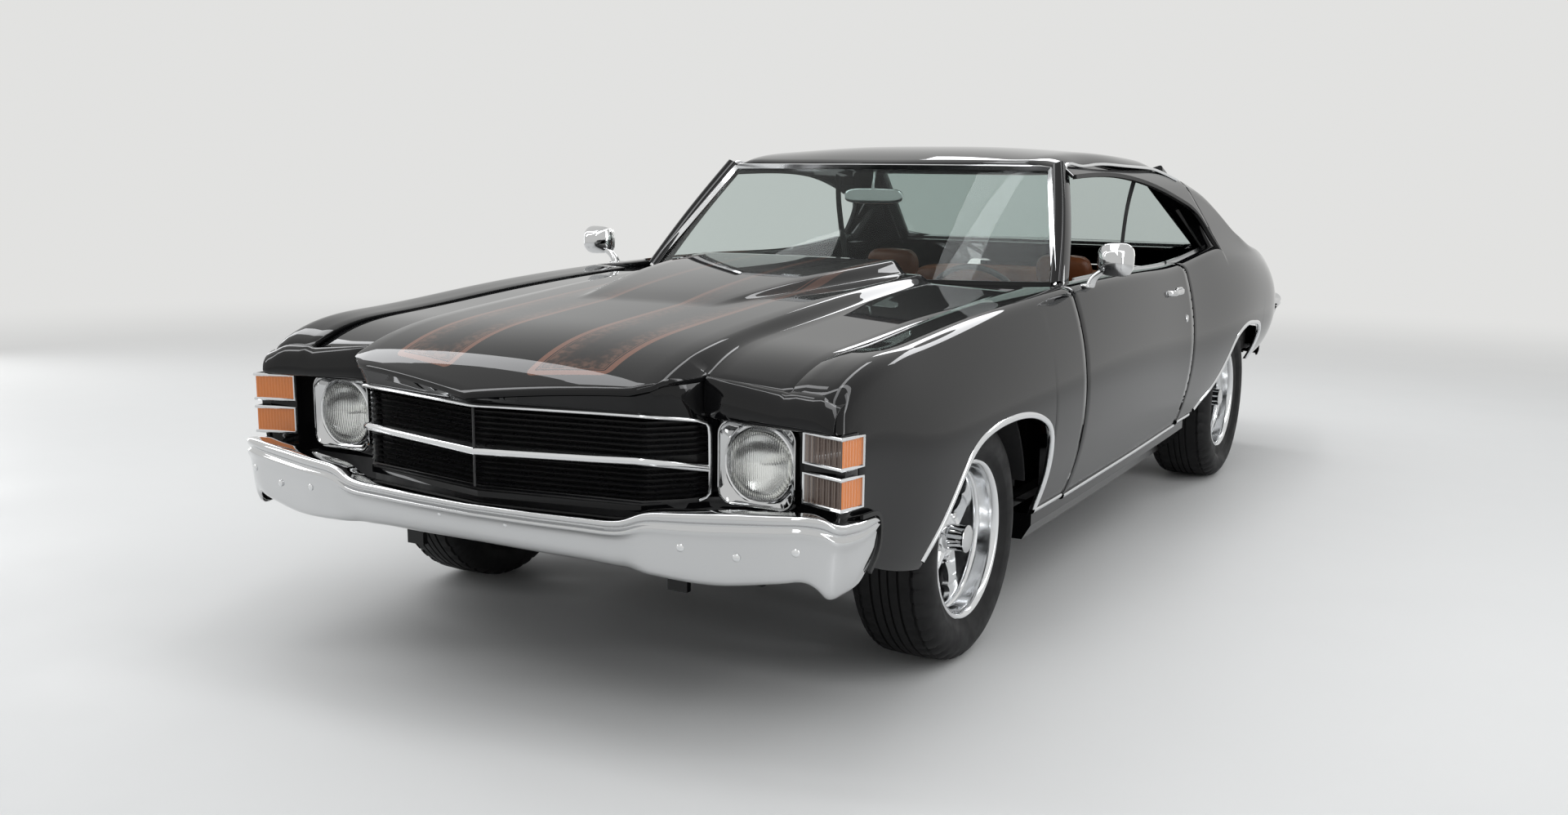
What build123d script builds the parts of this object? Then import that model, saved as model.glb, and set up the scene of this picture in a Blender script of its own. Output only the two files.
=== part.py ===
"""Two-door hardtop muscle car of about 1971, on its wheels.

Millimetres. +Z is up, -Y is forwards, +X is the car's left. The origin is on the floor, midway between
the bumpers' tips. "left" and "right" are the driver's own.
"""

import math
import os
from functools import cache

from build123d import *

FORWARDS = (0, -1, 0)

# Overall places
length = 5017.0
wheelbase = 2845.0
front_overhang = 953.0
nose_y = -length / 2
tail_y = length / 2
front_axle_y = nose_y + front_overhang
rear_axle_y = front_axle_y + wheelbase
half_track = 760.0

# The size that the places below are drawn for. along() and across() carry them to the sizes above.
drawn_half_track = 760.0
drawn_ends = (-2508.5, 2508.5)
drawn_axles = (-1555.5, 1289.5)
axle_reach = 430.0
track_reach = 600.0

# Wheels and tyres
front_tyre_r = 322.0
rear_tyre_r = 343.0
front_tyre_w = 225.0
rear_tyre_w = 255.0
rim_r = 205.0
barrel_r = rim_r - 15.0
hub_r = 52.0
spindle_r = 25.0
spindle_clearance = 0.05
kingpin_inset = 70.0
spoke_count = 5
spoke_w = 62.0
lug_circle_r = 60.3
lug_r = 10.0
cap_r = 38.0

# Panels
skin = 14.0
wall = 95.0
shut_gap = 10.0
side_gap = 6.0
hood_t = 28.0
crown_roll = 55.0
crown_drop = 38.0

# Doors
door_front_y = -862.0
door_rear_y = 452.0
door_sill_gap = 7.0
door_flange = 100.0
door_hinge_x = 910.0
door_hinge_heights = (560.0, 740.0)
door_rear_slant = 22.0
door_waist_x = 940.0
pillar_x = 755.0
pin_r = 5.0
pin_clearance = 0.05

# Hood, deck and glass
hood_hinge_y = -985.0
hood_hinge_z = 872.0
hood_hinge_x = 620.0
hood_edge_x = 722.0
deck_hinge_y = 1583.0
deck_hinge_z = 977.4
deck_rear_y = 2412.0
deck_edge_x = 640.0
deck_t = 26.0
glass_t = 7.0
roof_t = 34.0

# Steering and axles
ball_stud_r = 11.0
rim_share = 0.86
column_tilt = 22.0
wheel_centre = (370.0, -330.0, 790.0)

# Number plate bolts
plate_spacing = 178.0
plate_hole_r = 3.5
front_plate_z = 442.0
rear_plate_z = 640.0

# Floor
floor_z = 290.0
tunnel_w = 220.0
tunnel_h = 150.0
house_t = 8.0
rear_house_r = rear_tyre_r + 42.0
front_house_r = front_tyre_r + 86.0
apron_x = 452.0
rear_house_x = 592.0
trunk_z = 470.0

# Lamps, grille, bumpers and mirror
lamp_x = 638.0
lamp_z = 613.0
lamp_y = -2257.0
lamp_r = 89.0
lamp_clearance = 2.0
grille_top = 714.0
grille_low = 520.0
grille_bars = 13
TAIL_LAMP_X = (545.0, 735.0)
tail_lamp_r = 62.0
tail_lamp_z = 640.0
bumper_t = 16.0
nose_t = 20.0
MIRROR = (957.0, -715.0, 1016.0)

# Body side, front to rear. The crown is where the top turns down into the side, the waist is the widest
# point and the sill is the lower edge.
# Columns: y, crown_x, crown_z, waist_x, waist_z, sill_x, sill_z
BODY_SIDE = (
    (-2325, 864, 770, 882, 655, 858, 470),
    (-2230, 870, 808, 890, 655, 862, 420),
    (-1950, 876, 852, 918, 640, 884, 335),
    (-1555, 880, 893, 934, 640, 886, 318),
    (-1150, 886, 926, 940, 650, 882, 312),
    (-600, 892, 946, 938, 660, 880, 318),
    (0, 890, 950, 930, 670, 878, 330),
    (450, 888, 952, 930, 690, 878, 344),
    (900, 892, 985, 946, 715, 884, 362),
    (1290, 890, 1004, 957, 735, 890, 374),
    (1700, 880, 985, 952, 720, 890, 385),
    (2100, 856, 928, 912, 690, 874, 420),
    (2250, 844, 888, 876, 675, 856, 460),
    (2430, 812, 846, 844, 655, 824, 520),
)


def along(y):
    """The place on this car of one that is drawn at y. Both axles keep what is near them."""
    marks = [(drawn_ends[0], nose_y)]
    for drawn, real in zip(drawn_axles, (front_axle_y, rear_axle_y)):
        marks += [(drawn - axle_reach, real - axle_reach), (drawn + axle_reach, real + axle_reach)]
    marks.append((drawn_ends[1], tail_y))
    i = sum(1 for drawn, _ in marks[1:-1] if y > drawn)
    (a, real_a), (b, real_b) = marks[i], marks[i + 1]
    return real_a + (y - a) * (real_b - real_a) / (b - a)


def across(x):
    """The same for a place drawn at x. From track_reach outwards, places move with the wheels."""
    shift = half_track - drawn_half_track
    if abs(x) >= track_reach:
        return x + math.copysign(shift, x)
    return x * (track_reach + shift) / track_reach


def lerp(a, b, t):
    return a + (b - a) * t


def side_at(y):
    """The body side's row at y, by a smooth curve through the table."""
    rows = BODY_SIDE
    y = min(max(y, rows[0][0]), rows[-1][0])
    i = max(k for k in range(len(rows) - 1) if rows[k][0] <= y)
    a, b = rows[i], rows[i + 1]
    before, after = rows[max(i - 1, 0)], rows[min(i + 2, len(rows) - 1)]
    span = b[0] - a[0]
    t = (y - a[0]) / span
    out = []
    for c in range(1, 7):
        rise_a = (b[c] - before[c]) / (b[0] - before[0])
        rise_b = (after[c] - a[c]) / (after[0] - a[0])
        out.append(
            a[c] * (2 * t**3 - 3 * t**2 + 1)
            + b[c] * (3 * t**2 - 2 * t**3)
            + span * (rise_a * (t**3 - 2 * t**2 + t) + rise_b * (t**3 - t**2))
        )
    return out


def station(y):
    """A plane across the car at y, with +X to its right and +Z up."""
    return Plane.XZ.offset(-along(y))


def section(y, *runs):
    """A closed face at y, with X across and Z up. A run of two points is a line, of three an arc."""
    with BuildSketch(station(y)) as face:
        with BuildLine():
            for run in runs:
                points = [(across(x), z) for x, z in run]
                if len(points) == 2:
                    Line(*points)
                elif len(points) == 3:
                    ThreePointArc(*points)
                else:
                    Spline(*points)
        make_face()
    return face


def straight(points):
    """A closed outline as runs of two points."""
    return list(zip(points, points[1:] + points[:1]))


def skin_points(y, inset):
    """Top, roll, crown, waist and sill points of the side, moved in by inset."""
    crown_x, crown_z, waist_x, waist_z, sill_x, sill_z = side_at(y)
    roll = crown_roll
    top = (crown_x - roll, crown_z - inset)
    bend = (crown_x - roll * 0.29 - inset * 0.7, crown_z - crown_drop * 0.29 - inset * 0.7)
    crown = (crown_x - inset, crown_z - crown_drop - inset * 0.3)
    waist = (waist_x - inset, waist_z)
    sill = (sill_x - inset, sill_z)
    return top, bend, crown, waist, sill


def flip(points, side):
    return [(x * side, z) for x, z in points]


def shell_section(y, side, edge, thick=skin):
    """The side as a bent sheet, from its inner top edge (x, z) to the sill."""
    top, bend, crown, waist, sill = flip(skin_points(y, 0), side)
    top_i, bend_i, crown_i, waist_i, sill_i = flip(skin_points(y, thick), side)
    edge_top = (edge[0] * side, edge[1])
    edge_low = (edge[0] * side, edge[1] - thick)
    return section(
        y, (edge_top, top), (top, bend, crown), (crown, waist, sill), (sill, sill_i),
        (sill_i, waist_i, crown_i), (crown_i, bend_i, top_i), (top_i, edge_low), (edge_low, edge_top),
    )


def wall_section(y, side, thick=wall):
    """The side as a thick wall with a flat inner face."""
    top, bend, crown, waist, sill = flip(skin_points(y, 0), side)
    inner_x = (side_at(y)[0] - thick) * side
    low, high = (inner_x, sill[1]), (inner_x, top[1])
    return section(y, (high, top), (top, bend, crown), (crown, waist, sill), (sill, low), (low, high))


def hollow_section(y, side, thick):
    """All that lies inside the skin, down past the sill."""
    top, bend, crown, waist, sill = flip(skin_points(y, thick), side)
    inner_x = 700.0 * side
    low = sill[1] - 80
    corner, foot, high = (sill[0], low), (inner_x, low), (inner_x, top[1])
    return section(
        y, (high, top), (top, bend, crown), (crown, waist, sill), (sill, corner), (corner, foot), (foot, high)
    )


# Wheel openings, as seen from the side: (y behind the axle, z) round the lip, front to rear
FRONT_ARCH = (
    (-410, 250), (-380, 345), (-325, 425), (-245, 530), (-165, 598), (-55, 632), (75, 643),
    (215, 636), (330, 608), (397, 566), (423, 500), (425, 250),
)
REAR_ARCH = (
    (-670, 250), (-570, 385), (-460, 425), (-360, 480), (-270, 560), (-200, 620), (-100, 660), (30, 678),
    (160, 670), (255, 625), (305, 550), (320, 450), (320, 250),
)


def arch_cutter(points, axle_y, side):
    """A bar through the body side with the wheel opening's outline."""
    places = [(axle_y + y, z) for y, z in points]
    with BuildPart() as bar:
        with BuildSketch(Plane.YZ.offset(min(700 * side, 1100 * side))):
            with BuildLine():
                Spline(*places)
                Line(places[-1], places[0])
            make_face()
        extrude(amount=400)
    return bar.part


def save(part, label):
    part.label = label
    export_step(part, f"parts/{label}.step")


def hood_height(y):
    """Height of the hood's edge above the floor at y."""
    return side_at(y)[1] - 6.0


def lofted(sections):
    """A loft through ready-made section sketches."""
    with BuildPart() as body:
        for face in sections:
            add(face.sketch)
        loft()
    return body.part


def joined(solids, cuts=(), keep=None):
    """The solids as one part, only where keep is, and without the cuts."""
    with BuildPart() as body:
        for solid in solids:
            add(solid)
        if keep is not None:
            add(keep, mode=Mode.INTERSECT)
        for cut in cuts:
            add(cut, mode=Mode.SUBTRACT)
    return body.part


def prism_x(points, x0, x1):
    """A side-view outline (y, z) extruded across the car."""
    start, end = sorted((across(x0), across(x1)))
    with BuildPart() as body:
        with BuildSketch(Plane.YZ.offset(start)):
            with BuildLine():
                Polyline(*[(along(y), z) for y, z in points], close=True)
            make_face()
        extrude(amount=end - start)
    return body.part


def prism_z(points, z0, z1):
    """A plan-view outline (x, y) extruded upwards."""
    with BuildPart() as body:
        with BuildSketch(Plane.XY.offset(z0)):
            with BuildLine():
                Polyline(*[(across(x), along(y)) for x, y in points], close=True)
            make_face()
        extrude(amount=z1 - z0)
    return body.part


def prism_y(points, y0, y1):
    """A front-view outline (x, z) extruded along the car."""
    with BuildPart() as body:
        extrude(section(y1, *straight(points)).sketch, amount=along(y1) - along(y0), dir=FORWARDS)
    return body.part


def block(x0, x1, y0, y1, z0, z1):
    """A box between two corners."""
    return prism_z([(x0, y0), (x1, y0), (x1, y1), (x0, y1)], z0, z1)


def cylinder_x(x0, x1, y, z, r):
    start, end = sorted((across(x0), across(x1)))
    with BuildPart() as rod:
        with BuildSketch(Plane.YZ.offset(start)):
            with Locations((along(y), z)):
                Circle(r)
        extrude(amount=end - start)
    return rod.part


def cylinder_z(x, y, z0, z1, r):
    with BuildPart() as rod:
        with BuildSketch(Plane.XY.offset(z0)):
            with Locations((across(x), along(y))):
                Circle(r)
        extrude(amount=z1 - z0)
    return rod.part


def cylinder_y(x, z, y0, y1, r):
    with BuildPart() as rod:
        with BuildSketch(station(y1)):
            with Locations((across(x), z)):
                Circle(r)
        extrude(amount=along(y1) - along(y0))
    return rod.part


def mirrored(points):
    """A right-hand outline, given from +X to the centreline, with its mirror image added."""
    return list(points) + [(-x, y) for x, y in reversed(points) if x > 0]


# Body panels


@cache
def fender(side):
    rear = door_front_y - shut_gap
    stations = (-2325, -2230, -2110, -1960, -1800, -1640, -1480, -1320, -1160, -1010, rear)
    panel = lofted(shell_section(y, side, (hood_edge_x + side_gap, hood_height(y))) for y in stations)
    lamp_space = block(840 * side, 940 * side, -2400, -2268, 549, 710)
    return joined([panel], [arch_cutter(FRONT_ARCH, front_axle_y, side), lamp_space])


def slant_y(x, y):
    """Where the slanted shut face that starts at the waist, at y, has run to at x."""
    return y - door_rear_slant * (door_waist_x - x) / wall


def shut_cutter(side, y, reach):
    """A block from the slanted shut face at y to a distance along the car."""
    inner, outer = 700.0, 1000.0
    outline = [
        (outer * side, slant_y(outer, y)), (inner * side, slant_y(inner, y)),
        (inner * side, y + reach), (outer * side, y + reach),
    ]
    return prism_z(outline, 200, 1100)


@cache
def door(side):
    hinge_y = door_front_y + door_flange
    front = hinge_y + 12
    x = door_hinge_x
    panel = lofted(wall_section(y, side) for y in (door_front_y, -600, -300, 100, door_rear_y + 20))
    cuts = [
        lofted(hollow_section(y, side, 20) for y in (door_front_y - 10, -800, front)),
        block(700 * side, 838 * side, door_front_y - 10, front, 860, 1000),
        shut_cutter(side, door_rear_y, 200),
    ]
    bosses = []
    for z in door_hinge_heights:
        cuts.append(block((x - 25) * side, (x + 11) * side, hinge_y - 45, front - 1, z - 36, z - 12))
        bosses.append(cylinder_z(x * side, hinge_y, z - 12, z + 28, pin_r + 5))
        bosses.append(block(x * side, (x + 14) * side, hinge_y - 8, front + 2, z - 12, z + 28))
    pins = [
        cylinder_z(x * side, hinge_y, z - 13, z + 29, pin_r + pin_clearance) for z in door_hinge_heights
    ]
    return joined([joined([panel], cuts), *bosses], pins)


@cache
def quarter(side):
    front = door_rear_y + shut_gap
    stations = (front - 30, 700, 1000, 1290, 1700, 2100, 2250, 2430)
    shoulder = []
    for y in (1480, 1700, 2100, deck_rear_y + 8):
        top_x, top_z = skin_points(y, 0)[0]
        x0 = (deck_edge_x + side_gap) * side
        x1 = (top_x + 20) * side
        strip = [(x0, top_z - 2), (x1, top_z - 2), (x1, top_z - deck_t), (x0, top_z - deck_t)]
        shoulder.append(section(y, *straight(strip)))
    panel = lofted(wall_section(y, side) for y in stations)
    cuts = [
        shut_cutter(side, front, -200),
        arch_cutter(REAR_ARCH, rear_axle_y, side),
        cylinder_x(500 * side, 925 * side, drawn_axles[1], rear_tyre_r, rear_house_r),
    ]
    pin = cylinder_x(
        (deck_edge_x - 35) * side, (deck_edge_x + 60) * side, deck_hinge_y, deck_hinge_z, pin_r
    )
    return joined([panel, lofted(shoulder), pin], cuts)


# Roof. Columns: y, half width at the rail, rail height, centre height
ROOF = (
    (-424, 560, 1264, 1298),
    (-318, 606, 1288, 1326),
    (-80, 632, 1306, 1362),
    (250, 650, 1310, 1374),
    (600, 652, 1306, 1364),
    (900, 640, 1284, 1330),
)
# Front view of the sail panel's outside, from the body side up to the roof
SAIL_FACE = ((888, 940), (868, 986), (838, 1036), (790, 1119), (752, 1178), (700, 1250), (634, 1306))
# The side opening's upper edge and the sail panel behind it, seen from the side
SAIL = (
    (-318, 1300), (600, 1310), (816, 1300), (1031, 1270), (1190, 1222), (1319, 1170), (1400, 1106),
    (1480, 1050), (1600, 1016), (1760, 985), (1900, 965), (1900, 940), (1060, 960), (1046, 1040),
    (1012, 1120), (880, 1180), (611, 1236), (350, 1268), (-23, 1276), (-318, 1264),
)
WINDSHIELD = ((752.0, -655.0, 926.0), (606.0, -322.0, 1286.0), -205.0, -92.0)
REAR_WINDOW = ((700.0, 1400.0, 985.0), (600.0, 880.0, 1280.0), 95.0, 45.0)


def roof_section(y, half, rail_z, centre_z):
    rise = centre_z - rail_z
    outer = [
        (half, rail_z), (half - 34, rail_z + 0.42 * rise), (half - 110, rail_z + 0.68 * rise),
        (0.4 * half, rail_z + 0.95 * rise),
    ]
    outer = outer + [(0, centre_z)] + [(-x, z) for x, z in reversed(outer)]
    inner = [(x, z - roof_t) for x, z in reversed(outer)]
    return section(y, outer, (outer[-1], inner[0]), inner, (inner[-1], outer[0]))


def sail(side):
    """The leaning side of the roof: the rail over the side opening and the sail panel."""
    thick = 62.0
    outer = [(x * side, z) for x, z in SAIL_FACE]
    inner = [(x - thick * side, z) for x, z in reversed(outer)]
    with BuildPart() as panel:
        face = section(1950, outer, (outer[-1], inner[0]), inner, (inner[-1], outer[0]))
        extrude(face.sketch, amount=along(1950) - along(-450), dir=FORWARDS)
    return joined([panel.part], keep=prism_x(SAIL, -1000, 1000))


def post(places):
    """A leaning bar with a rectangular section. Columns: x, y, z, width, depth"""
    with BuildPart() as bar:
        for x, y, z, wide, deep in places:
            with BuildSketch(Plane.XY.offset(z)):
                with Locations((across(x), along(y))):
                    Rectangle(wide, deep)
        loft()
    return bar.part


def glass(lower, upper, bow_low, bow_high, grow=0.0):
    """A curved sheet of glass between two level arcs, each given by its corner (x, y, z) and its bow."""
    t = glass_t + 2 * grow
    with BuildPart() as sheet:
        for (x, y, z), bow in ((lower, bow_low), (upper, bow_high)):
            x, front = across(x), along(y) - grow
            rear = front + t
            with BuildSketch(Plane.XY.offset(z)):
                with BuildLine():
                    ThreePointArc((-x, front), (0, front + bow), (x, front))
                    Line((x, front), (x, rear))
                    ThreePointArc((x, rear), (0, rear + bow), (-x, rear))
                    Line((-x, rear), (-x, front))
                make_face()
        loft(ruled=True)
    return sheet.part


def header_plan():
    """The roof's plan, with its front edge bowed like the windshield."""
    corner_x, corner_y = across(WINDSHIELD[1][0] + 20), along(WINDSHIELD[1][1] + 8)
    with BuildPart() as body:
        with BuildSketch(Plane.XY.offset(1100)):
            with BuildLine():
                ThreePointArc((-corner_x, corner_y), (0, corner_y + WINDSHIELD[3]), (corner_x, corner_y))
                Polyline(
                    (corner_x, corner_y), (corner_x + 200, corner_y + 90), (corner_x + 200, along(1300)),
                    (-corner_x - 200, along(1300)), (-corner_x - 200, corner_y + 90), (-corner_x, corner_y),
                )
            make_face()
        extrude(amount=400)
    return body.part


@cache
def roof_shell():
    solids = [joined([lofted(roof_section(*row) for row in ROOF)], keep=header_plan())]
    for side in (1, -1):
        solids.append(sail(side))
        solids.append(post(((756 * side, -650, 925, 48, 66), (630 * side, -300, 1292, 44, 60))))
        solids.append(post(((742 * side, 1404, 975, 130, 60), (622 * side, 886, 1285, 70, 60))))
    cuts = [quarter(1), quarter(-1), glass(*WINDSHIELD, grow=0.4), glass(*REAR_WINDOW, grow=0.4)]
    return joined(solids, cuts)


# Hood. Columns: y, drop of the edge below the fender's, shoulder x, shoulder z, centre z
HOOD = (
    (-960, 4, 430, 962, 966),
    (-1300, 4, 432, 944, 950),
    (-1700, 4, 436, 912, 920),
    (-2050, 6, 442, 878, 888),
    (-2262, 16, 448, 842, 858),
)
# The hood's middle runs on, down to the grille. Columns: y, cheek z, shoulder z, centre z
NOSE = ((-2262, 806, 842, 858), (-2380, 768, 800, 818), (-2502, 712, 736, 748))
NOSE_V = ((0, -2500), (411, -2424), (448, -2398), (478, -2340), (508, -2262), (508, -2200), (0, -2200))
# The raised panel along the hood. Columns: y, half width low, half width high, low z, high z
BULGE = (
    (-960, 392, 350, 940, 1004),
    (-1400, 330, 290, 922, 966),
    (-1790, 240, 205, 890, 915),
)


def hood_section(y, drop, shoulder_x, shoulder_z, centre_z):
    edge_z = hood_height(y) - drop
    foot_z = lerp(shoulder_z, edge_z, 0.7)
    half = [(hood_edge_x, edge_z), (shoulder_x + 46, foot_z), (shoulder_x, shoulder_z), (0, centre_z)]
    outer = mirrored(half)
    inner = [(x, z - hood_t) for x, z in reversed(outer)]
    return section(y, *straight(outer + inner))


def nose_section(y, cheek_z, shoulder_z, centre_z):
    outer = mirrored([(512, cheek_z), (430, shoulder_z), (0, centre_z)])
    inner = [(x, z - nose_t) for x, z in reversed(outer)]
    return section(y, *straight(outer + inner))


def bulge_section(y, half_low, half_high, low, high):
    return section(y, *straight(mirrored([(half_low, low), (half_high, high)])))


def hood():
    nose = joined([lofted(nose_section(*row) for row in NOSE)], keep=prism_z(mirrored(NOSE_V[::-1]), 600, 900))
    solids = [lofted(hood_section(*row) for row in HOOD), nose, lofted(bulge_section(*row) for row in BULGE)]
    bores = []
    for side in (1, -1):
        x0 = hood_hinge_x * side
        x1 = (hood_hinge_x + 16) * side
        solids.append(block(x0, x1, hood_hinge_y - 12, hood_hinge_y + 12, hood_hinge_z - 12, 905))
        bores.append(cylinder_x(x0 - side, x1 + side, hood_hinge_y, hood_hinge_z, pin_r + pin_clearance))
    return joined(solids, bores)


def deck_section(y, crown):
    z = side_at(y)[1] - 4
    x = deck_edge_x
    low = z - deck_t
    return section(y, ((-x, z), (0, z + crown), (x, z)), ((x, z), (x, low)),
                   ((x, low), (0, low + crown), (-x, low)), ((-x, low), (-x, z)))


def deck_lid():
    rows = ((deck_hinge_y, 0.4), (1700, 9), (1900, 14), (2150, 14), (deck_rear_y, 12))
    solids = [
        lofted(deck_section(*row) for row in rows),
        cylinder_x(-deck_edge_x, deck_edge_x, deck_hinge_y, deck_hinge_z, deck_t / 2),
    ]
    bores = [
        cylinder_x(
            (deck_edge_x - 41) * side, (deck_edge_x + 1) * side, deck_hinge_y, deck_hinge_z,
            pin_r + pin_clearance,
        )
        for side in (1, -1)
    ]
    return joined(solids, bores)


def rear_filler():
    """Panel between the rear window and the deck lid, with the shelf inside under the window."""
    z = deck_hinge_z + deck_t / 2
    rear = deck_hinge_y - deck_t / 2 - side_gap
    x = deck_edge_x + side_gap
    solids = [
        prism_x([(1360, z - 1), (rear, z), (rear, z - 20), (1360, z - 20)], -x, x),
        block(-x, x, 1130, 1370, z - 20, z - 8),
    ]
    return joined(solids, [glass(*REAR_WINDOW, grow=0.4), roof_shell()])


def tail_panel():
    y = deck_rear_y + side_gap
    return block(-716, 716, y, y + 14, 420, 828)


def cowl():
    hinge_y = door_front_y + door_flange
    shelf = mirrored([(724, -880), (724, -868), (778, -868), (778, -640), (0, -705)])
    slope = [(-935, 870), (-880, 925), (-876, 925), (-876, 903), (-882, 903), (-935, 852)]
    solids = [
        block(-pillar_x, pillar_x, -940, -925, floor_z + 10, 856),
        prism_z(shelf, 903, 925),
        prism_x(slope, -724, 724),
        block(-pillar_x, pillar_x, -935, -925, 850, 862),
    ]
    for side in (1, -1):
        pillar = [(-940, floor_z + 10), (-940, 856), (-925, 862), (-884, 904), (-722, 904), (-722, floor_z + 10)]
        solids.append(prism_x(pillar, 690 * side, pillar_x * side))
        for z in door_hinge_heights:
            solids.append(cylinder_z(door_hinge_x * side, hinge_y, z - 30, z + 26, pin_r))
            solids.append(
                block((pillar_x - 10) * side, door_hinge_x * side, hinge_y - 6, hinge_y + 5, z - 30, z - 18)
            )
        bracket = [
            (hood_hinge_y - 12, hood_hinge_z + 12), (hood_hinge_y + 12, hood_hinge_z + 12),
            (hood_hinge_y + 12, 830), (-935, 830), (-935, 800), (hood_hinge_y - 12, 800),
        ]
        x0 = (hood_hinge_x - 20) * side
        solids.append(prism_x(bracket, x0, (hood_hinge_x - 8) * side))
        solids.append(cylinder_x(x0, (hood_hinge_x + 14) * side, hood_hinge_y, hood_hinge_z, pin_r))
    return joined(solids)


def rocker(side):
    sections = []
    for y in (-1122, -600, 0, 600):
        sill_x, sill_z = side_at(y)[4:]
        x, z = sill_x - 6, sill_z - door_sill_gap
        half = [(800, z), (x, z), (x, z - 34), (x - 26, z - 78), (800, z - 78)]
        sections.append(section(y, *straight([(a * side, b) for a, b in half])))
    return lofted(sections)


def wheel_house(axle_y, axle_z, r, x0, x1, from_deg, to_deg):
    """The curved liner over a wheel."""
    a0, a1 = math.radians(from_deg), math.radians(to_deg)
    start, end = sorted((across(x0), across(x1)))

    def at(radius, a):
        return axle_y + radius * math.cos(a), axle_z + radius * math.sin(a)

    outer = r + house_t
    mid = (a0 + a1) / 2
    with BuildPart() as liner:
        with BuildSketch(Plane.YZ.offset(start)):
            with BuildLine():
                ThreePointArc(at(r, a0), at(r, mid), at(r, a1))
                Line(at(r, a1), at(outer, a1))
                ThreePointArc(at(outer, a1), at(outer, mid), at(outer, a0))
                Line(at(outer, a0), at(r, a0))
            make_face()
        extrude(amount=end - start)
    return liner.part


def floor_pan():
    half = 800.0
    w = tunnel_w / 2
    top = mirrored([(half, floor_z + 10), (w + 16, floor_z + 10), (w - 20, floor_z + tunnel_h)])
    under = mirrored([(half, floor_z), (w + 6, floor_z), (w - 30, floor_z + tunnel_h - 10)])
    x0 = rear_house_x
    solids = [
        prism_y(top + list(reversed(under)), -924, 850),
        block(-x0, x0, 840, 852, floor_z, trunk_z),
        block(-x0, x0, 840, deck_rear_y, trunk_z - 10, trunk_z),
    ]
    for side in (1, -1):
        solids.append(block(x0 * side, 796 * side, 840, 852, floor_z + 5, 500))
        solids.append(block(x0 * side, (x0 + house_t) * side, 840, 1760, 430, 745))
        solids.append(
            wheel_house(rear_axle_y, rear_tyre_r, rear_house_r, (x0 + house_t) * side, 794 * side, 23, 157)
        )
        strip = ((x0, 1650), (800, 1650), (770, 2100), (760, deck_rear_y), (x0, deck_rear_y))
        solids.append(prism_z([(x * side, y) for x, y in strip], trunk_z - 10, trunk_z))
    return joined(solids, [quarter(1), quarter(-1)])


def inner_fenders():
    rear = -945.0
    solids = []
    arm_y = drawn_axles[0]
    for side in (1, -1):
        x0 = apron_x * side
        x1 = (apron_x + house_t) * side
        wall_outline = [(-2186, 290), (rear, 290), (rear, 852), (-2186, 748)]
        apron = prism_x(wall_outline, x0, x1)
        arm_space = block(x0 - side, x1 + side, arm_y - 140, arm_y + 140, 280, 500)
        solids.append(joined([apron], [arm_space]))
        solids.append(wheel_house(front_axle_y, front_tyre_r, front_house_r, x1, 862 * side, 12, 168))
    return joined(solids)


def frame():
    """Two rails with a step over the rear axle, crossmembers and the mounts under the floor."""
    z0, z1 = 205.0, 284.0
    rail = mirrored([(445, -2300), (445, -1150), (705, -900), (705, 600), (500, 900), (500, 2405)])
    inner = mirrored([(375, -2301), (375, -1120), (635, -870), (635, 570), (430, 870), (430, 2406)])
    under = [(-2301, z0), (900, z0), (1090, 385), (1620, 385), (1800, 300), (2406, 300)]
    over = [(-2301, z1), (880, z1), (1070, 458), (1640, 458), (1830, 374), (2406, 374)]
    rails = joined([prism_z(rail, 190, 470)], [prism_z(inner, 189, 471)], prism_x(under + over[::-1], -720, 720))
    cross = [
        block(-reach, reach, y - 40, y + 40, low, low + 64)
        for y, reach, low in (
            (-2230, 376, 210), (-1555, 376, 210), (-700, 636, 210), (640, 606, 210), (1650, 431, 385),
            (2350, 431, 306),
        )
    ]
    mounts = [
        block((x - 25) * side, (x + 25) * side, y - 30, y + 30, low, high)
        for x, y, low, high in ((670, -820, 280, floor_z), (670, 540, 280, floor_z), (465, 1350, 455, trunk_z - 10))
        for side in (1, -1)
    ]
    return joined([rails, *cross, *mounts])


# Front end. Plan of the grille's face, from the centreline outwards
GRILLE_LINE = ((0, -2466), (411, -2392), (500, -2290), (520, -2262))


def plan_band(line, back, z0, z1):
    """A wall that follows a plan line, on both sides of the centreline, and reaches back by a distance."""
    outer = list(reversed(line)) + [(-x, y) for x, y in line[1:]]
    inner = [(x, y + back) for x, y in reversed(outer)]
    return prism_z(outer + inner, z0, z1)


def nose_panel():
    """The panel that holds the grille and lamps, from fender to fender."""
    y = lamp_y + 3
    opening = block(-526, 526, y - 1, y + 24, grille_low - 5, grille_top + 1.5)
    solids = [joined([block(-864, 864, y, y + 22, 500, 728)], [opening])]
    holes = []
    for side in (1, -1):
        holes.append(cylinder_y(lamp_x * side, lamp_z, y - 1, y + 40, lamp_r + lamp_clearance))
        cheek = [(774, y + 1), (774, -2300), (868, -2316), (868, y + 1)]
        solids.append(prism_z([(a * side, b) for a, b in cheek], 500, 720))
        solids.append(block(385 * side, 440 * side, y + 4, y + 20, 284, 502))
    solids.append(block(-864, 864, y, y + 26, 728, 736))
    solids.append(plan_band(GRILLE_LINE, 150, grille_low - 18, grille_low - 4))
    solids.append(plan_band(GRILLE_LINE, 150, grille_top + 1, grille_top + 6))
    return joined(solids, [*holes, fender(1), fender(-1)])


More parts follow.
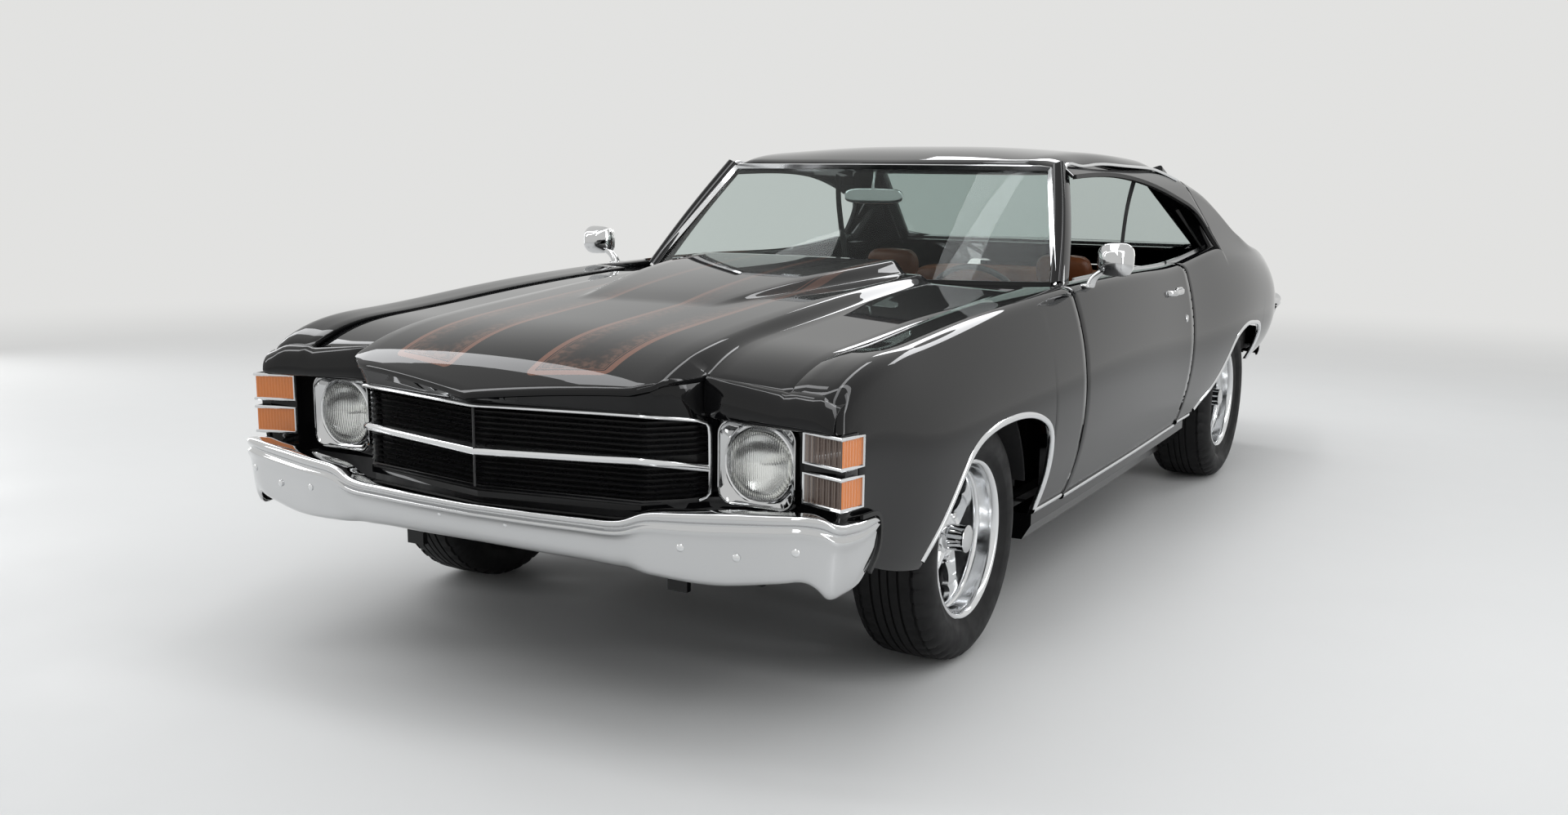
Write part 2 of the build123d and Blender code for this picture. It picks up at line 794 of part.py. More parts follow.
def grille():
    """Fine level bars in a vee, on a thin backing."""
    backing = plan_band([(x * 0.96, y + 24) for x, y in GRILLE_LINE], 6, grille_low - 4, grille_top + 1)
    pitch = (grille_top - grille_low) / grille_bars
    heights = [grille_low + pitch * (i + 0.5) for i in range(grille_bars)]
    return joined([backing, *(plan_band(GRILLE_LINE, 25, z - 2.2, z + 2.2) for z in heights)])


def headlamps():
    return joined(
        cylinder_y(lamp_x * side, lamp_z, lamp_y, lamp_y + 60, lamp_r) for side in (1, -1)
    )


def lamp_bezels():
    half = 104.0
    with BuildPart() as bezels:
        for side in (1, -1):
            with BuildSketch(station(lamp_y + 3)):
                with Locations((across(lamp_x * side), lamp_z)):
                    RectangleRounded(2 * half, 2 * half - 6, 34)
                    Circle(lamp_r + 1, mode=Mode.SUBTRACT)
            extrude(amount=16)
    return bezels.part


def marker_lamps():
    plan = ((774, -2306), (880, -2332), (899, -2316), (899, -2270), (872, -2270), (868, -2317), (774, -2301))
    solids = []
    for side in (1, -1):
        for z0, z1 in ((551, 621), (639, 708)):
            solids.append(prism_z([(x * side, y) for x, y in plan], z0, z1))
    return joined(solids)


# Bumpers. Faces are front views (x, z) from the top centre round to the bottom centre, plans are (x, y)
FRONT_BUMPER_FACE = (
    (0, 494), (392, 498), (432, 507), (470, 523), (560, 534), (640, 540), (800, 549), (856, 547),
    (886, 534), (905, 505), (905, 462), (892, 438), (840, 408), (740, 382), (605, 373), (244, 387), (0, 391),
)
FRONT_BUMPER_PLAN = (
    (0, -2508.5), (230, -2498), (420, -2480), (560, -2468), (700, -2448), (800, -2427), (858, -2402),
    (888, -2368), (900, -2320), (903, -2246),
)
REAR_BUMPER_FACE = (
    (0, 716), (500, 724), (800, 730), (868, 724), (888, 700), (895, 640), (884, 596), (850, 572), (500, 556),
    (0, 552),
)
REAR_BUMPER_PLAN = (
    (0, 2508.5), (300, 2507), (560, 2502), (780, 2488), (850, 2464), (882, 2424), (892, 2370), (895, 2250),
)


def bumper(face, plan, lead):
    """A bright bar that follows a plan line, cut to a front-view outline. It lies behind lead's side."""
    inner = [(max(x - bumper_t, 0), y) if abs(x) > 840 else (x, y + lead * bumper_t) for x, y in plan]
    outer = mirrored(list(reversed(plan)))
    back = mirrored(list(reversed(inner)))
    y0, y1 = sorted((plan[0][1] - lead * 90, plan[0][1] + lead * 300))
    return joined([prism_z(outer + list(reversed(back)), 280, 800)], keep=prism_y(mirrored(face), y0, y1))


def plate_holes(y0, y1, z):
    return [
        cylinder_y(plate_spacing / 2 * side, z, y0, y1, plate_hole_r) for side in (1, -1)
    ]


def front_bumper():
    brackets = []
    for side in (1, -1):
        brackets.append(block(400 * side, 440 * side, -2470, -2250, 284, 330))
        brackets.append(block(400 * side, 440 * side, -2473, -2440, 320, 460))
    bar = bumper(FRONT_BUMPER_FACE, FRONT_BUMPER_PLAN, 1)
    return joined([bar, *brackets], plate_holes(-2600, -2470, front_plate_z))


def rear_bumper():
    bar = bumper(REAR_BUMPER_FACE, REAR_BUMPER_PLAN, -1)
    brackets = [
        block(430 * side, 470 * side, deck_rear_y + side_gap + 14, 2496, 570, 620) for side in (1, -1)
    ]
    lamps = [
        cylinder_y(x * side, tail_lamp_z, 2400, 2600, tail_lamp_r + 1)
        for side in (1, -1) for x in TAIL_LAMP_X
    ]
    return joined([bar, *brackets], [*lamps, *plate_holes(2470, 2600, rear_plate_z)])


def tail_lamps():
    return joined(
        cylinder_y(x * side, tail_lamp_z, deck_rear_y + 22, 2494, tail_lamp_r)
        for side in (1, -1) for x in TAIL_LAMP_X
    )


# Running gear


def ring_x(side, y, z, outline):
    """A ring round the line through (y, z) along X, from its outline in (offset from the wheel, radius)."""
    x = half_track * side
    with BuildPart() as ring:
        with BuildSketch(Plane(origin=(x, y, z), x_dir=(1, 0, 0), z_dir=(0, -1, 0))):
            with BuildLine():
                Polyline(*[(a * side, b) for a, b in outline], close=True)
            make_face()
        revolve(axis=Axis((x, y, z), (1, 0, 0)))
    return ring.part


def tyre(side, y, r, width):
    h = width / 2
    half = [
        (0, r), (0.70 * h, r - 3), (0.88 * h, r - 14), (0.99 * h, r - 40), (h, r - 62), (0.95 * h, r - 88),
        (0.86 * h, rim_r + 6), (0.80 * h, rim_r - 2), (0.66 * h, rim_r - 2), (0.66 * h, rim_r + 9),
        (0.84 * h, r - 80), (0.82 * h, r - 32), (0.62 * h, r - 18), (0, r - 14),
    ]
    return ring_x(side, y, r, half + [(-a, b) for a, b in reversed(half[1:-1])])


def hub_face(width):
    """How far the wheel's hub face stands outside the wheel's middle."""
    return width / 2 * rim_share - 62.0


def rim(side, drawn_y, y, r, width):
    """Barrel with its lips, hub, five spokes, cap and lug nuts."""
    h = width / 2 * rim_share
    face = drawn_half_track + hub_face(width)
    barrel = [
        (-h, rim_r + 10), (-h + 7, rim_r + 10), (-h + 9, rim_r - 3), (h - 9, rim_r - 3), (h - 7, rim_r + 10),
        (h, rim_r + 10), (h, rim_r - 8), (h - 12, barrel_r), (-h + 12, barrel_r), (-h, rim_r - 8),
    ]
    hub = joined([
        cylinder_x((face - 60) * side, face * side, drawn_y, r, hub_r + 30),
        cylinder_x(face * side, (face + 34) * side, drawn_y, r, cap_r),
    ])
    solids = [ring_x(side, y, r, barrel), hub]
    for i in range(spoke_count):
        a = math.radians(90 + 360 / spoke_count * i)
        solids.append(spoke(side, y, r, across((face - 44) * side), a))
        b = a + math.pi / spoke_count
        lug_y = drawn_y + lug_circle_r * math.cos(b)
        lug_z = r + lug_circle_r * math.sin(b)
        solids.append(cylinder_x((face - 2) * side, (face + 18) * side, lug_y, lug_z, lug_r))
    bore_end = (face - 6) * side
    bore = cylinder_x((drawn_half_track - 130) * side, bore_end, drawn_y, r, spindle_r + spindle_clearance)
    return joined(solids, [bore])


def spoke(side, y, z, x, angle):
    """One spoke, wide at the hub and narrower at the barrel."""
    inner, outer = hub_r - 4, barrel_r + 4
    wide, narrow = spoke_w / 2 + 6, spoke_w / 2 - 5
    corners = ((inner, wide), (outer, narrow), (outer, -narrow), (inner, -wide))
    turned = [
        (y + a * math.cos(angle) - b * math.sin(angle), z + a * math.sin(angle) + b * math.cos(angle))
        for a, b in corners
    ]
    with BuildPart() as bar:
        with BuildSketch(Plane.YZ.offset(x)):
            with BuildLine():
                Polyline(*turned, close=True)
            make_face()
        extrude(amount=40 * side)
    return bar.part


def knuckle(side):
    y, z = drawn_axles[0], front_tyre_r
    king_x = drawn_half_track - kingpin_inset
    end_x = drawn_half_track + hub_face(front_tyre_w) - 9
    solids = [
        cylinder_x((king_x - 18) * side, end_x * side, y, z, spindle_r),
        block((king_x - 18) * side, (king_x + 12) * side, y - 34, y + 34, z - 128, z + 128),
        cylinder_x((king_x + 6) * side, (king_x + 22) * side, y, z, 130),
        block((king_x - 40) * side, (king_x - 4) * side, y + 28, y + 140, z - 100, z - 78),
    ]
    for z0, z1 in ((z - 162, z - 120), (z + 120, z + 162)):
        solids.append(cylinder_z(king_x * side, y, z0, z1, ball_stud_r))
    return joined(solids)


def rear_axle():
    y, z = drawn_axles[1], rear_tyre_r
    inner = drawn_half_track - 120
    end_x = drawn_half_track + hub_face(rear_tyre_w) - 9
    solids = [cylinder_x(-inner, inner, y, z, 38)]
    for side in (1, -1):
        solids.append(cylinder_x(inner * side, end_x * side, y, z, spindle_r))
        solids.append(cylinder_x((inner + 8) * side, (inner + 50) * side, y, z, 140))
        solids.append(block(430 * side, 500 * side, y - 40, y + 40, z + 30, z + 42))
    with BuildPart() as middle:
        with Locations((0, rear_axle_y, z)):
            Sphere(104)
    return joined([*solids, middle.part])


def front_suspension():
    """Lower and upper arms, the crossmember and the towers that carry the upper arms."""
    y, z = drawn_axles[0], front_tyre_r
    king_x = drawn_half_track - kingpin_inset
    solids = [block(-440, 440, y - 50, y + 50, 284, 345)]
    holes = []
    for side in (1, -1):
        for z0, inner_x, spread in ((z - 158, 380, 120), (z + 138, 405, 96)):
            outline = (
                (inner_x, y - spread), (king_x - 20, y - 26), (king_x + 12, y - 22), (king_x + 22, y - 8),
                (king_x + 22, y + 8), (king_x + 12, y + 22), (king_x - 20, y + 26), (inner_x, y + spread),
            )
            solids.append(prism_z([(a * side, b) for a, b in outline], z0, z0 + 20))
        solids.append(block(400 * side, 446 * side, y - 100, y + 100, 284, z + 140))
        for dy in (-100, 100):
            solids.append(block(385 * side, 420 * side, y + dy - 12, y + dy + 12, z - 142, 205))
        holes.append(cylinder_z(king_x * side, y, z - 170, z + 170, ball_stud_r + pin_clearance))
    return joined(solids, holes)


def engine():
    return block(-290, 290, -1930, -1000, 345, 800)


# Interior


def front_seats():
    solids = []
    for side in (1, -1):
        x = 375.0 * side
        outlines = (
            (245, [(-160, 330), (380, 330), (380, 470), (-130, 520), (-180, 480)]),
            (240, [(330, 440), (470, 430), (590, 820), (500, 850), (360, 560)]),
            (130, [(515, 832), (595, 815), (620, 960), (545, 975)]),
        )
        for half, outline in outlines:
            solids.append(prism_x(outline, x - half, x + half))
        solids.append(block(x - 200, x + 200, -60, 320, floor_z + 10, 330))
    return joined(solids)


def rear_seat():
    cushion = [(700, 300), (838, 300), (838, 471), (1130, 471), (1130, 500), (720, 520), (690, 470)]
    back = [(1020, 500), (1128, 500), (1200, 900), (1110, 920), (1010, 560)]
    w = tunnel_w / 2 + 18
    tunnel = block(-w, w, 600, 853, floor_z, floor_z + tunnel_h + 1)
    return joined([prism_x(cushion, -560, 560), prism_x(back, -560, 560)], [tunnel])


def column_plane(offset):
    """A plane across the steering column, a distance behind the steering wheel's middle."""
    tilt = math.radians(column_tilt)
    direction = (0.0, math.cos(tilt), math.sin(tilt))
    middle = steering_middle()
    return Plane(
        origin=tuple(c + offset * k for c, k in zip(middle, direction)), x_dir=(1, 0, 0), z_dir=direction
    )


def steering_middle():
    x, y, z = wheel_centre
    return across(x), along(y), z


def instrument_panel():
    outline = [(-740, 903), (-470, 903), (-420, 880), (-410, 740), (-500, 700), (-716, 740)]
    upper = [(-740, 903), (-470, 903), (-420, 880), (-410, 740), (-500, 700), (-740, 740)]
    ends = [(-716, 903), *outline[1:5], (-716, 735)]
    with BuildPart() as column:
        for r, start, end in ((26, -330, -40), (10, -330, 4)):
            with BuildSketch(column_plane(start)):
                Circle(r)
            extrude(amount=end - start)
    return joined([prism_x(upper, -688, 688), prism_x(ends, -765, 765), column.part])


def steering_wheel():
    middle = steering_middle()
    across_plane = column_plane(0)
    with BuildPart() as wheel:
        with BuildSketch(Plane(origin=middle, x_dir=across_plane.z_dir, z_dir=(1, 0, 0))):
            with Locations((0, 178)):
                Circle(12)
        revolve(axis=Axis(middle, tuple(across_plane.z_dir)))
        with BuildSketch(column_plane(-26)):
            Circle(34)
        extrude(amount=34)
        with BuildSketch(column_plane(-10)):
            Rectangle(348, 26)
            with Locations((0, -88)):
                Rectangle(26, 172)
        extrude(amount=10)
        with BuildSketch(column_plane(-27)):
            Circle(10 + pin_clearance)
        extrude(amount=32, mode=Mode.SUBTRACT)
    return wheel.part


def door_trim(side):
    """Door mirror on its foot, and the outside handle."""
    x, y, z = MIRROR
    crown_z = side_at(y)[1]
    head = [(x - 56, z + 49), (x + 48, z + 44), (x + 57, z + 28), (x + 54, z - 40), (x + 40, z - 50),
            (x - 50, z - 50), (x - 60, z - 36), (x - 62, z + 40)]
    with BuildPart() as shell:
        outlines = ((y + 24, 1.0), (y - 14, 0.94), (y - 50, 0.5))
        for at_y, share in outlines:
            face = [(x + (a - x) * share, z + (b - z) * share) for a, b in head]
            add(section(at_y, *straight([(a * side, b) for a, b in face])).sketch)
        loft(ruled=True)
    solids = [
        shell.part,
        block(864 * side, 896 * side, y - 60, y + 50, crown_z - 42, crown_z + 2),
        prism_y([(874 * side, crown_z - 4), (898 * side, crown_z - 4), (944 * side, z - 20),
                 (918 * side, z - 20)], y - 12, y + 10),
        block(905 * side, 945 * side, 130, 330, 850, 872),
    ]
    return joined(solids, [door(side)])


def exhaust():
    solids = []
    for side in (1, -1):
        solids.append(cylinder_y(250 * side, 172, -900, 700, 28))
        solids.append(cylinder_y(250 * side, 172, 690, 1000, 60))
        for y in (-700, 640):
            solids.append(block(240 * side, 260 * side, y - 12, y + 12, 190, 210))
    return joined(solids)


def fuel_tank():
    return block(-380, 380, 1700, 2240, 300, trunk_z - 10)


def save_all():
    parts = {
        "front_fender_left": fender(1),
        "front_fender_right": fender(-1),
        "door_left": door(1),
        "door_right": door(-1),
        "door_trim_left": door_trim(1),
        "door_trim_right": door_trim(-1),
        "quarter_left": quarter(1),
        "quarter_right": quarter(-1),
        "roof_shell": roof_shell(),
        "windows": joined([glass(*WINDSHIELD), glass(*REAR_WINDOW)]),
        "hood": hood(),
        "deck_lid": deck_lid(),
        "deck_surround": joined([rear_filler(), tail_panel()]),
        "cowl": cowl(),
        "rockers": joined([rocker(1), rocker(-1)]),
        "floor_pan": floor_pan(),
        "inner_fenders": inner_fenders(),
        "frame": frame(),
        "nose_panel": nose_panel(),
        "grille": grille(),
        "headlamps": headlamps(),
        "lamp_bezels": lamp_bezels(),
        "marker_lamps": marker_lamps(),
        "front_bumper": front_bumper(),
        "rear_bumper": rear_bumper(),
        "tail_lamps": tail_lamps(),
        "engine": engine(),
        "front_suspension": front_suspension(),
        "rear_axle": rear_axle(),
        "knuckle_left": knuckle(1),
        "knuckle_right": knuckle(-1),
        "front_seats": front_seats(),
        "rear_seat": rear_seat(),
        "instrument_panel": instrument_panel(),
        "steering_wheel": steering_wheel(),
        "exhaust": exhaust(),
        "fuel_tank": fuel_tank(),
    }
    ends = (
        ("front", drawn_axles[0], front_axle_y, front_tyre_r, front_tyre_w),
        ("rear", drawn_axles[1], rear_axle_y, rear_tyre_r, rear_tyre_w),
    )
    for end, drawn_y, y, r, width in ends:
        for name, side in (("left", 1), ("right", -1)):
            parts[f"{end}_tyre_{name}"] = tyre(side, y, r, width)
            parts[f"{end}_rim_{name}"] = rim(side, drawn_y, y, r, width)
    return parts


os.makedirs("parts", exist_ok=True)
for label, part in save_all().items():
    save(part, label)
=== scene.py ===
"""Looks of the two-door muscle car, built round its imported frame. Metres, +Z up, -Y forwards, +X its left.

Tables and outlines are in millimetres, as in the part's source, and meshes are scaled when they are made.
"""

import math

import bmesh
import bpy
import numpy as np
from mathutils import Matrix, Vector


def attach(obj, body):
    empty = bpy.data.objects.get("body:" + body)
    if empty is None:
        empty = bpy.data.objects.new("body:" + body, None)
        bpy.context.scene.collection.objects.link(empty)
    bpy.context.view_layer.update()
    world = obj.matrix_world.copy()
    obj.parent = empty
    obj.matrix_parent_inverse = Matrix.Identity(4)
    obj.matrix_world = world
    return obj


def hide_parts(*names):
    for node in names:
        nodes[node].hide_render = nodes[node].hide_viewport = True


MM = 0.001
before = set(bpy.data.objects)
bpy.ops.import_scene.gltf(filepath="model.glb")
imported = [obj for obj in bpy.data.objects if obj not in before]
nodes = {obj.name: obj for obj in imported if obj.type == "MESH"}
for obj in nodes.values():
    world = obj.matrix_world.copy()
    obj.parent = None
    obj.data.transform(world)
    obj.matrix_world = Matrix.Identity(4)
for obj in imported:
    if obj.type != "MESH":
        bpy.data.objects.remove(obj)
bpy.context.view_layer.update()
BOTH = ((1, "left"), (-1, "right"))


# Camera, from the solved view: place in mm, angles in degrees, lengths in pixels of the photograph
CAMERA_PLACE = (2197.0, -4915.4, 1228.7)
CAMERA_YAW = -29.405
CAMERA_PITCH = -10.714
CAMERA_ROLL = 0.798
FOCAL_PX = 1731.5
CENTRE_PY = 551.6
FRAME_W = 1920
FRAME_H = 998


def make_camera():
    yaw, pitch, roll = (math.radians(a) for a in (CAMERA_YAW, CAMERA_PITCH, CAMERA_ROLL))
    ahead = Vector((math.sin(yaw) * math.cos(pitch), math.cos(yaw) * math.cos(pitch), math.sin(pitch)))
    level = Vector((math.cos(yaw), -math.sin(yaw), 0))
    up = level.cross(ahead)
    right = math.cos(roll) * level + math.sin(roll) * up
    top = -math.sin(roll) * level + math.cos(roll) * up
    data = bpy.data.cameras.new("camera")
    camera = bpy.data.objects.new("camera", data)
    bpy.context.collection.objects.link(camera)
    camera.matrix_world = Matrix(
        [(right[i], top[i], -ahead[i], CAMERA_PLACE[i] * MM) for i in range(3)] + [(0, 0, 0, 1)]
    )
    data.sensor_width = 36
    data.lens = FOCAL_PX / FRAME_W * data.sensor_width
    data.shift_y = (CENTRE_PY - FRAME_H / 2) / FRAME_W
    data.clip_end = 100
    bpy.context.scene.camera = camera


# Materials


class Nodes:
    """A principled material and short ways to add nodes to it."""

    def __init__(self, name, color, roughness=0.5, metallic=0.0, **sockets):
        self.mat = bpy.data.materials.new(name)
        self.mat.use_nodes = True
        self.tree = self.mat.node_tree
        self.shader = self.tree.nodes["Principled BSDF"]
        self.set("Base Color", (*color, 1))
        self.set("Roughness", roughness)
        self.set("Metallic", metallic)
        for key, value in sockets.items():
            self.set(key.replace("_", " ").title().replace("Ior", "IOR"), value)
        self.mat.diffuse_color = (*color, 1)

    def set(self, socket, value):
        self.shader.inputs[socket].default_value = value

    def add(self, kind, **inputs):
        node = self.tree.nodes.new(kind)
        for key, value in inputs.items():
            name = key.replace("_", " ")
            target = node.inputs.get(name) or node.inputs.get(name.title())
            if isinstance(value, bpy.types.NodeSocket):
                self.tree.links.new(value, target)
            else:
                target.default_value = value
        return node

    def link(self, output, socket):
        self.tree.links.new(output, self.shader.inputs[socket])

    def place(self):
        return self.add("ShaderNodeTexCoord").outputs["Object"]

    def noise(self, scale, detail=3.0):
        return self.add("ShaderNodeTexNoise", Vector=self.place(), Scale=scale, Detail=detail)

    def ramp(self, value, *stops):
        node = self.add("ShaderNodeValToRGB", Fac=value)
        elements = node.color_ramp.elements
        for i, (at, color) in enumerate(stops):
            element = elements[i] if i < 2 else elements.new(at)
            element.position = at
            element.color = (*color, 1)
        return node.outputs["Color"]

    def math(self, operation, a, b=0.0, c=0.0):
        node = self.tree.nodes.new("ShaderNodeMath")
        node.operation = operation
        for i, value in enumerate((a, b, c)):
            if isinstance(value, bpy.types.NodeSocket):
                self.tree.links.new(value, node.inputs[i])
            else:
                node.inputs[i].default_value = value
        return node.outputs[0]

    def step(self, value, low, high):
        """0 below low, 1 above high and smooth between them."""
        node = self.add("ShaderNodeMapRange", Value=value)
        node.interpolation_type = "SMOOTHSTEP"
        node.inputs["From Min"].default_value = low
        node.inputs["From Max"].default_value = high
        return node.outputs["Result"]

    def mix(self, share, a, b):
        node = self.tree.nodes.new("ShaderNodeMix")
        node.data_type = "RGBA"
        for socket, value in ((node.inputs[0], share), (node.inputs[6], a), (node.inputs[7], b)):
            if isinstance(value, bpy.types.NodeSocket):
                self.tree.links.new(value, socket)
            elif isinstance(value, tuple):
                socket.default_value = (*value, 1)
            else:
                socket.default_value = value
        return node.outputs[2]

    def bump(self, height, strength, distance=0.001):
        node = self.add("ShaderNodeBump", Height=height, Strength=strength, Distance=distance)
        self.link(node.outputs["Normal"], "Normal")
        return node

    def vary(self, socket, low, high, scale):
        noise = self.noise(scale)
        spread = self.add("ShaderNodeMapRange", Value=noise.outputs["Fac"])
        spread.inputs["From Min"].default_value = 0.3
        spread.inputs["From Max"].default_value = 0.7
        spread.inputs["To Min"].default_value = low
        spread.inputs["To Max"].default_value = high
        self.link(spread.outputs["Result"], socket)


PAINT = (0.0042, 0.0042, 0.0047)
BRONZE = (0.19, 0.088, 0.060)
STRIPE_X = 0.217
STRIPE_HALF = 0.105
STRIPE_FRONT = -2.452
STRIPE_SLANT = 0.185
STRIPE_CORNER = 0.022


def paint_look(name):
    paint = Nodes(name, PAINT, 0.22, coat_weight=1.0, coat_roughness=0.012, coat_ior=1.38,
                  specular_ior_level=0.0)
    paint.vary("Roughness", 0.18, 0.27, 5.0)
    return paint


def stripe_look():
    """Black paint with two broad stripes: a bronze border and a mottled fill that fades rearwards."""
    paint = paint_look("hood_paint")
    place = paint.place()
    parts = paint.add("ShaderNodeSeparateXYZ", Vector=place)
    across = paint.math("ABSOLUTE", parts.outputs["X"])
    across = paint.math("ABSOLUTE", paint.math("SUBTRACT", across, STRIPE_X))
    over_x = paint.math("SUBTRACT", across, STRIPE_HALF - STRIPE_CORNER)
    slant = paint.math("MULTIPLY", paint.math("ABSOLUTE", parts.outputs["X"]), STRIPE_SLANT)
    front = paint.math("ADD", slant, STRIPE_FRONT + STRIPE_CORNER)
    over_y = paint.math("SUBTRACT", front, parts.outputs["Y"])
    out_x = paint.math("MAXIMUM", over_x, 0.0)
    out_y = paint.math("MAXIMUM", over_y, 0.0)
    beyond = paint.math("SQRT", paint.math("ADD", paint.math("MULTIPLY", out_x, out_x),
                                           paint.math("MULTIPLY", out_y, out_y)))
    inside = paint.math("MINIMUM", paint.math("MAXIMUM", over_x, over_y), 0.0)
    depth = paint.math("SUBTRACT", STRIPE_CORNER, paint.math("ADD", beyond, inside))
    border = paint.math("MULTIPLY", paint.step(depth, 0.0, 0.0012),
                        paint.math("SUBTRACT", 1.0, paint.step(depth, 0.016, 0.019)))
    line = paint.math("MULTIPLY", paint.step(depth, 0.021, 0.022),
                      paint.math("SUBTRACT", 1.0, paint.step(depth, 0.0235, 0.0245)))
    fill = paint.math("MULTIPLY", paint.step(depth, 0.025, 0.027),
                      paint.math("SUBTRACT", 1.05, paint.step(depth, 0.026, 0.085)))
    mottle = paint.math("ADD", 0.35, paint.step(paint.noise(60.0, 8.0).outputs["Fac"], 0.40, 0.62))
    near = paint.math("SUBTRACT", 1.0, paint.step(parts.outputs["Y"], -2.42, -1.25))
    spots = paint.math("MULTIPLY", paint.math("MULTIPLY", fill, mottle), paint.math("MULTIPLY", near, 0.75))
    edge = paint.math("MULTIPLY", paint.math("MAXIMUM", border, line),
                      paint.math("ADD", paint.math("MULTIPLY", near, 0.68), 0.32))
    tone = paint.mix(paint.noise(160.0, 3.0).outputs["Fac"], (0.14, 0.062, 0.041), BRONZE)
    color = paint.mix(spots, PAINT, (0.10, 0.052, 0.036))
    paint.link(paint.mix(edge, color, tone), "Base Color")
    return paint


# Clear coat of the coloured lenses
GLOSS = {"coat_weight": 1.0, "coat_roughness": 0.03}
# Plain looks. Columns: material, colour, roughness, metallic, more sockets, the low, high and scale of a
# roughness that varies, and the texture, strength and settings of a relief
SURFACES = {
    "chrome": ("chrome", (0.64, 0.645, 0.65), 0.04, 1.0, {}, (0.025, 0.07, 6.0), None),
    "trim": ("bright_trim", (0.80, 0.81, 0.82), 0.12, 1.0, {}, (0.09, 0.17, 14.0), None),
    "alloy": ("polished_alloy", (0.78, 0.79, 0.80), 0.14, 1.0, {}, (0.09, 0.19, 30.0), None),
    "satin": ("chassis_black", (0.016, 0.016, 0.017), 0.5, 0.0, {}, (0.38, 0.62, 14.0),
              ("Noise", 0.15, {"Scale": 120.0, "Detail": 3.0})),
    "plastic": ("grille_black", (0.010, 0.010, 0.011), 0.30, 0.0, {}, (0.24, 0.38, 40.0), None),
    "glass": ("window_glass", (0.60, 0.67, 0.65), 0.0, 0.0, {"transmission_weight": 1.0, "ior": 1.2},
              (0.0, 0.01, 3.0), None),
    "lens": ("lamp_lens", (0.97, 0.98, 0.98), 0.02, 0.0, {"transmission_weight": 1.0, "ior": 1.40}, None,
             None),
    "reflector": ("lamp_reflector", (0.90, 0.90, 0.88), 0.12, 1.0, {}, (0.08, 0.2, 20.0), None),
    "amber": ("amber_lens", (0.72, 0.20, 0.022), 0.14, 0.0, GLOSS, (0.1, 0.2, 30.0), None),
    "smoke": ("smoked_lens", (0.13, 0.085, 0.062), 0.16, 0.0, GLOSS, (0.12, 0.22, 30.0), None),
    "red": ("red_lens", (0.36, 0.006, 0.008), 0.1, 0.0, GLOSS, None, ("Wave", 0.3, {"Scale": 60.0})),
    "rubber": ("rubber", (0.009, 0.009, 0.0095), 0.62, 0.0, {"specular_ior_level": 0.25}, (0.5, 0.72, 22.0),
               ("Noise", 0.12, {"Scale": 300.0, "Detail": 4.0})),
    "seal": ("black_seal", (0.010, 0.010, 0.010), 0.55, 0.0, {}, None,
             ("Noise", 0.1, {"Scale": 400.0, "Detail": 2.0})),
    "leather": ("leather", (0.25, 0.085, 0.03), 0.42, 0.0, {}, None, ("Voronoi", 0.25, {"Scale": 420.0})),
    "vinyl": ("black_vinyl", (0.014, 0.014, 0.015), 0.48, 0.0, {}, (0.42, 0.56, 12.0),
              ("Voronoi", 0.3, {"Scale": 500.0})),
    "webbing": ("belt_webbing", (0.010, 0.010, 0.011), 0.7, 0.0, {}, None, ("Wave", 0.4, {"Scale": 300.0})),
    "carpet": ("carpet", (0.018, 0.018, 0.019), 0.95, 0.0, {"sheen_weight": 0.3}, None,
               ("Noise", 0.8, {"Scale": 900.0, "Detail": 3.0})),
    "iron": ("oiled_iron", (0.05, 0.05, 0.052), 0.55, 0.6, {}, (0.45, 0.7, 18.0),
             ("Noise", 0.3, {"Scale": 90.0, "Detail": 5.0})),
    "steel": ("aluminised_steel", (0.34, 0.34, 0.35), 0.35, 1.0, {}, (0.28, 0.48, 25.0), None),
}


def make_materials():
    m = {"paint": paint_look("paint"), "stripes": stripe_look()}
    for key, (name, color, roughness, metallic, sockets, spread, relief) in SURFACES.items():
        look = m[key] = Nodes(name, color, roughness, metallic, **sockets)
        if relief:
            kind, strength, settings = relief
            texture = look.add(f"ShaderNodeTex{kind}", Vector=look.place(), **settings)
            look.bump(texture.outputs["Distance" if kind == "Voronoi" else "Fac"], strength)
        if spread:
            look.vary("Roughness", *spread)
    lens, smoke, leather = m["lens"], m["smoke"], m["leather"]
    flutes = lens.add("ShaderNodeTexWave", Vector=lens.place(), Scale=58.0, Distortion=0.4)
    lens.bump(flutes.outputs["Fac"], 0.45, 0.0015)
    checks = smoke.add("ShaderNodeTexBrick", Vector=smoke.place(), Scale=46.0)
    checks.inputs["Color1"].default_value = (0.075, 0.046, 0.034, 1)
    checks.inputs["Color2"].default_value = (0.095, 0.056, 0.040, 1)
    checks.inputs["Mortar"].default_value = (0.26, 0.20, 0.165, 1)
    smoke.link(checks.outputs["Color"], "Base Color")
    tone = leather.noise(7.0).outputs["Fac"]
    leather.link(leather.ramp(tone, (0.3, (0.16, 0.050, 0.017)), (0.7, (0.26, 0.088, 0.032))), "Base Color")
    return m


looks = make_materials()


# Mesh tools


